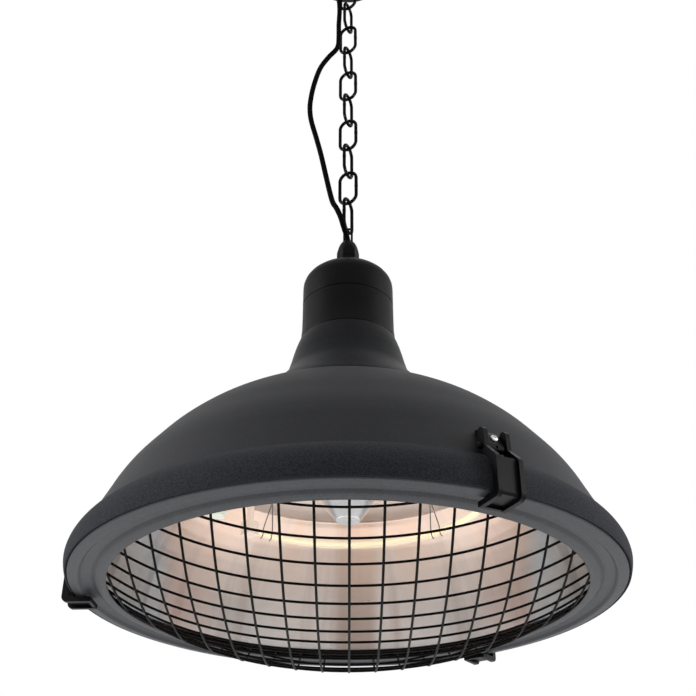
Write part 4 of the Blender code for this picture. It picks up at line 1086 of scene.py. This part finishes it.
def rod(centre, direction, radius, reach, sides=24):
    """A straight cylinder that goes as far as reach to either side of its centre."""
    direction = direction / np.linalg.norm(direction)
    path = centre + direction * np.array([[-reach], [reach]])
    aside = Y_AXIS if abs(direction[1]) < 0.5 else UP
    return tube(path, radius, aside, sides, dome=False)


print("a rod has", len(rod(PIN_PLACE, Y_AXIS, 0.001, 0.01)[0]), "points")

# %% [markdown]
# Walls and plate are united, and holes are cut, with Boolean modifiers that are applied at once on a helper
# that is then removed. Only the finished mesh stays.

# %% Uniting and cutting
def carved(first, steps):
    """The mesh of a shape after unions and cuts with other shapes, given as (operation, shape)."""
    base = bpy.data.objects.new("carving", mesh_from("carving", [first]))
    bpy.context.scene.collection.objects.link(base)
    helpers = []
    for operation, shape in steps:
        other = bpy.data.objects.new("helper", mesh_from("helper", [shape]))
        bpy.context.scene.collection.objects.link(other)
        modifier = base.modifiers.new("step", "BOOLEAN")
        modifier.operation, modifier.solver, modifier.object = operation, "EXACT", other
        helpers.append(other)
    bpy.context.view_layer.update()
    made = bpy.data.meshes.new_from_object(base.evaluated_get(bpy.context.evaluated_depsgraph_get()))
    for obj in (base, *helpers):
        bpy.data.objects.remove(obj, do_unlink=True)
    return made


bored = carved(unit_cube, [("DIFFERENCE", rod(np.full(3, 0.5), UP, 0.2, 1.0))])
print("a cube with a round hole has", len(bored.vertices), "points")
bpy.data.meshes.remove(bored)

# %% [markdown]
# A finished mesh is copied, turned to its azimuth and lowered to the rim. A small live Bevel then rounds the
# edges of the castings.

# %% Placing and rounding
BEVEL_ABOVE = 30.0


def place_latch(mesh, azimuth_deg, name):
    """A copy of a latch mesh turned to its azimuth and lowered to the rim."""
    turn = math.radians(azimuth_deg - 90.0)
    copy = mesh.copy()
    copy.name = name
    points = np.empty(len(copy.vertices) * 3, np.float32)
    copy.vertices.foreach_get("co", points)
    x, y, z = points.reshape(-1, 3).T.astype(float)
    moved = np.stack([x * math.cos(turn) - y * math.sin(turn), x * math.sin(turn) + y * math.cos(turn),
                      z + RIM_Z], axis=-1)
    copy.vertices.foreach_set("co", moved.astype(np.float32).ravel())
    copy.update()
    return copy


def round_edges(obj, width, segments=3):
    """A live Bevel on every edge that turns by more than a limit, with smooth faces round it."""
    modifier = obj.modifiers.new("rounding", "BEVEL")
    modifier.width, modifier.segments = width, segments
    modifier.limit_method, modifier.angle_limit = "ANGLE", math.radians(BEVEL_ABOVE)
    modifier.harden_normals = True
    smooth(obj.data, 40.0)


print("edges are rounded above", BEVEL_ABOVE, "degrees")

# %% [markdown]
# The pin has a wider head at each side, which shows as a small boss beside the ears. The screw is a zinc pan
# head with a cross recess, standing square on the dome. Both are spun round an axis of their own.

# %% Pin and screw
PIN = [(0, 17.6), (2.2, 17.6), (2.8, 17), (2.8, 13.95), (1.6, 13.95), (1.6, -13.95), (2.8, -13.95), (2.8, -17),
       (2.2, -17.6), (0, -17.6)]
SCREW = [(0, 2.4), (1.4, 2.35), (2.4, 2.15), (3.2, 1.6), (3.6, 0.9), (3.6, 0.35), (1.9, 0.3), (1.9, -13.4),
         (0, -13.4)]
SLOT_CORNERS = np.array([(-1, -1), (1, -1), (1, 1), (-1, 1)]) * (0.0018, 0.00045)
SLOT_FLOOR, SLOT_TOP = 0.0012, 0.0036


def make_pin():
    """The pin's profile, spun round the sideways axis of the latch."""
    return mesh_from("pin", [spun(np.array(PIN) * MM, PIN_PLACE, Y_AXIS, X_AXIS, UP, 32)])


def make_screw():
    """Head and shank, spun round the dome's normal, with two crossed slots cut into the head."""
    normal = DOME_NORMAL / np.linalg.norm(DOME_NORMAL)
    other = np.cross(normal, Y_AXIS)
    slots = []
    for long, short in ((Y_AXIS, other), (other, Y_AXIS)):
        square = SCREW_PLACE + SLOT_CORNERS[:, :1] * long + SLOT_CORNERS[:, 1:] * short
        slots.append(("DIFFERENCE", loft(np.stack([square + normal * SLOT_FLOOR, square + normal * SLOT_TOP]),
                                         start="flat", end="flat")))
    return carved(spun(np.array(SCREW) * MM, SCREW_PLACE, normal, Y_AXIS, other, 40), slots)


PIN_MESH, SCREW_MESH = make_pin(), make_screw()
print("pin:", len(PIN_MESH.polygons), "faces, screw:", len(SCREW_MESH.polygons))

# %% [markdown]
# A lever is two walls and a plate between them, and the plate reaches a little into the walls so that they
# unite. The bracket is one block with a hole for the pin, one for the screw, and a dimple on its knuckle. All
# four pieces are made once and then placed three times. The lever alone rides on its latch's body.

# %% The three latches
WALL_OVERLAP = 0.2
PIN_HOLE = ("DIFFERENCE", rod(PIN_PLACE, Y_AXIS, radius=0.0019, reach=0.02))
SCREW_HOLE = ("DIFFERENCE", rod(SCREW_PLACE, DOME_NORMAL, radius=0.0022, reach=0.018))
DIMPLE = ("DIFFERENCE", rod(DIMPLE_PLACE, X_AXIS, radius=0.0013, reach=0.0014))


def make_lever():
    """The plate, united with a wall at each side, and the pin's hole through both."""
    wall, inside = rounded(LEVER_WALL, 1.0, 2), LEVER_WALL_INSIDE + WALL_OVERLAP
    return carved(plate(LEVER_PLATE, -inside, inside),
                  [("UNION", plate(wall, -LEVER_WALL_OUTSIDE, -LEVER_WALL_INSIDE)),
                   ("UNION", plate(wall, LEVER_WALL_INSIDE, LEVER_WALL_OUTSIDE)), PIN_HOLE])


def make_latches():
    """Lever, bracket, pin and screw at each azimuth, the first two with rounded edges."""
    block = plate(rounded(BRACKET, 1.2, 3), -BRACKET_HALF_WIDTH, BRACKET_HALF_WIDTH)
    lever, bracket = make_lever(), carved(block, [PIN_HOLE, SCREW_HOLE, DIMPLE])
    for index, azimuth in enumerate(LATCH_AZIMUTHS, start=1):
        for part, mesh, finish, body, slot, edge in (
                ("lever", lever, LATCH_COAT, "latch_%d" % index, "black_powder_coat", 0.0008),
                ("bracket", bracket, LATCH_COAT, "heater", "black_powder_coat", 0.0004),
                ("pin", PIN_MESH, LATCH_COAT, "heater", "gland_black", 0.0),
                ("screw", SCREW_MESH, ZINC, "heater", "zinc_plate", 0.0)):
            node = "latch_%s_%d" % (part, index)
            made = piece(node + "_casting", node, place_latch(mesh, azimuth, node), finish, body)
            if edge:
                round_edges(made, edge)
            else:
                smooth(made.data, SMOOTH_BELOW)
    return len(lever.polygons)


print("lever faces before rounding:", make_latches())

# %% [markdown]
# ## Pieces that stay as they are
# The rest sits behind the reflector or inside the neck. Its solids already have the right shape, so they only
# get a finish.

# %% Inner pieces
INNER = {"heat_shield": PLAIN_ALUMINIUM, "neck_ring_nut": ZINC, "gland_lock_nut": NYLON, "terminal_bracket": ZINC,
         "terminal_block": CERAMIC, "lamp_lead_1": CERAMIC, "lamp_lead_2": CERAMIC, "supply_lead": RUBBER,
         "shield_spacer_1": ZINC, "shield_spacer_2": ZINC, "shield_spacer_3": ZINC, "lamp_end_1": LIT_CERAMIC,
         "lamp_end_2": LAMP_CERAMIC}
for name, finish in INNER.items():
    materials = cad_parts[name].data.materials
    materials.clear()
    materials.append(finish)
print("carried over:", ", ".join(sorted(INNER)))

# %% [markdown]
# ## The studio
# A pale floor far below stands in for the room. What the black coats reflect of it is an even light grey, so
# that no pattern of the floor shows on them.

# %% Floor
FLOOR_Z = -2.4
FLOOR_HALF = 6.0
FLOOR_IN_GLOSS = 0.7


def make_floor():
    """A large pale plane under the heater."""
    corners = [(x * FLOOR_HALF, y * FLOOR_HALF, FLOOR_Z) for x, y in ((-1, -1), (1, -1), (1, 1), (-1, 1))]
    mesh = bpy.data.meshes.new("floor")
    mesh.from_pydata(corners, [], [(0, 1, 2, 3)])
    material, shader, place = new_finish("floor_paint", (0.86, 0.86, 0.86), 0.8)
    cloud = noise(place, 2.0)
    feed(shader, Base_Color=cloud.blend((0.85, 0.85, 0.85, 1.0), (0.88, 0.88, 0.88, 1.0)))
    gloss = place.node("ShaderNodeLightPath", output="Is Glossy Ray")
    glow = place.node("ShaderNodeEmission", {}, {"Strength": FLOOR_IN_GLOSS})
    paint = Link(place.tree, shader.outputs[0])
    shown = place.node("ShaderNodeMixShader", {}, {0: gloss, 1: paint, 2: glow})
    place.tree.links.new(shown.socket, place.tree.nodes["Material Output"].inputs["Surface"])
    mesh.materials.append(material)
    floor = bpy.data.objects.new("floor", mesh)
    bpy.context.scene.collection.objects.link(floor)


make_floor()
print("floor at", FLOOR_Z, "m")

# %% [markdown]
# A white surround and three large soft lamps light the heater. The surround is white only to the camera and in
# reflections. As a light it is weak, so that a dark coat renders about as dark as it is. Two lamps stand at
# the sides and one lies low, under the mouth.

# %% Surround and lamps
SURROUND_LIGHT, SURROUND_SEEN, SURROUND_IN_GLOSS = 0.30, 1.0, 0.7
SOFTBOXES = [("right_softbox", (2.5, -0.3, -0.35), (0.0, 0.0, -0.8), 1.2, 48.0),
             ("left_softbox", (-2.5, -0.5, -0.35), (0.0, 0.0, -0.8), 1.2, 54.0),
             ("low_softbox", (0.0, 0.2, -2.35), (0.0, 0.0, -1.0), 3.4, 24.0)]


def make_surround():
    """World strength: its light, plus the share of each kind of ray that sees more of it than that."""
    world = bpy.data.worlds.new("surround")
    bpy.context.scene.world = world
    world.use_nodes = True
    background = world.node_tree.nodes["Background"]
    rays = Link(world.node_tree, None).node("ShaderNodeLightPath")
    camera, gloss, through = rays.outputs("Is Camera Ray", "Is Glossy Ray", "Is Transmission Ray")
    either = camera.math("MAXIMUM", camera.math("MAXIMUM", camera, through), gloss * SURROUND_IN_GLOSS)
    feed(background, Strength=either * (SURROUND_SEEN - SURROUND_LIGHT) + SURROUND_LIGHT)
    background.inputs["Color"].default_value = (1.0, 1.0, 1.0, 1.0)


def make_softbox(name, place, aim, size, power):
    """A square area light that looks at a point."""
    data = bpy.data.lights.new(name, "AREA")
    data.shape, data.size, data.energy = "SQUARE", size, power
    lamp = bpy.data.objects.new(name, data)
    back = np.array(place, float) - np.array(aim, float)
    flat = math.hypot(back[0], back[1])
    lamp.location = place
    lamp.rotation_euler = (math.atan2(flat, back[2]), 0.0, math.atan2(back[1], back[0]) + math.pi / 2.0)
    bpy.context.scene.collection.objects.link(lamp)


make_surround()
for row in SOFTBOXES:
    make_softbox(*row)
bpy.context.scene.view_settings.view_transform = "Standard"
print("soft lamps:", ", ".join(row[0] for row in SOFTBOXES))
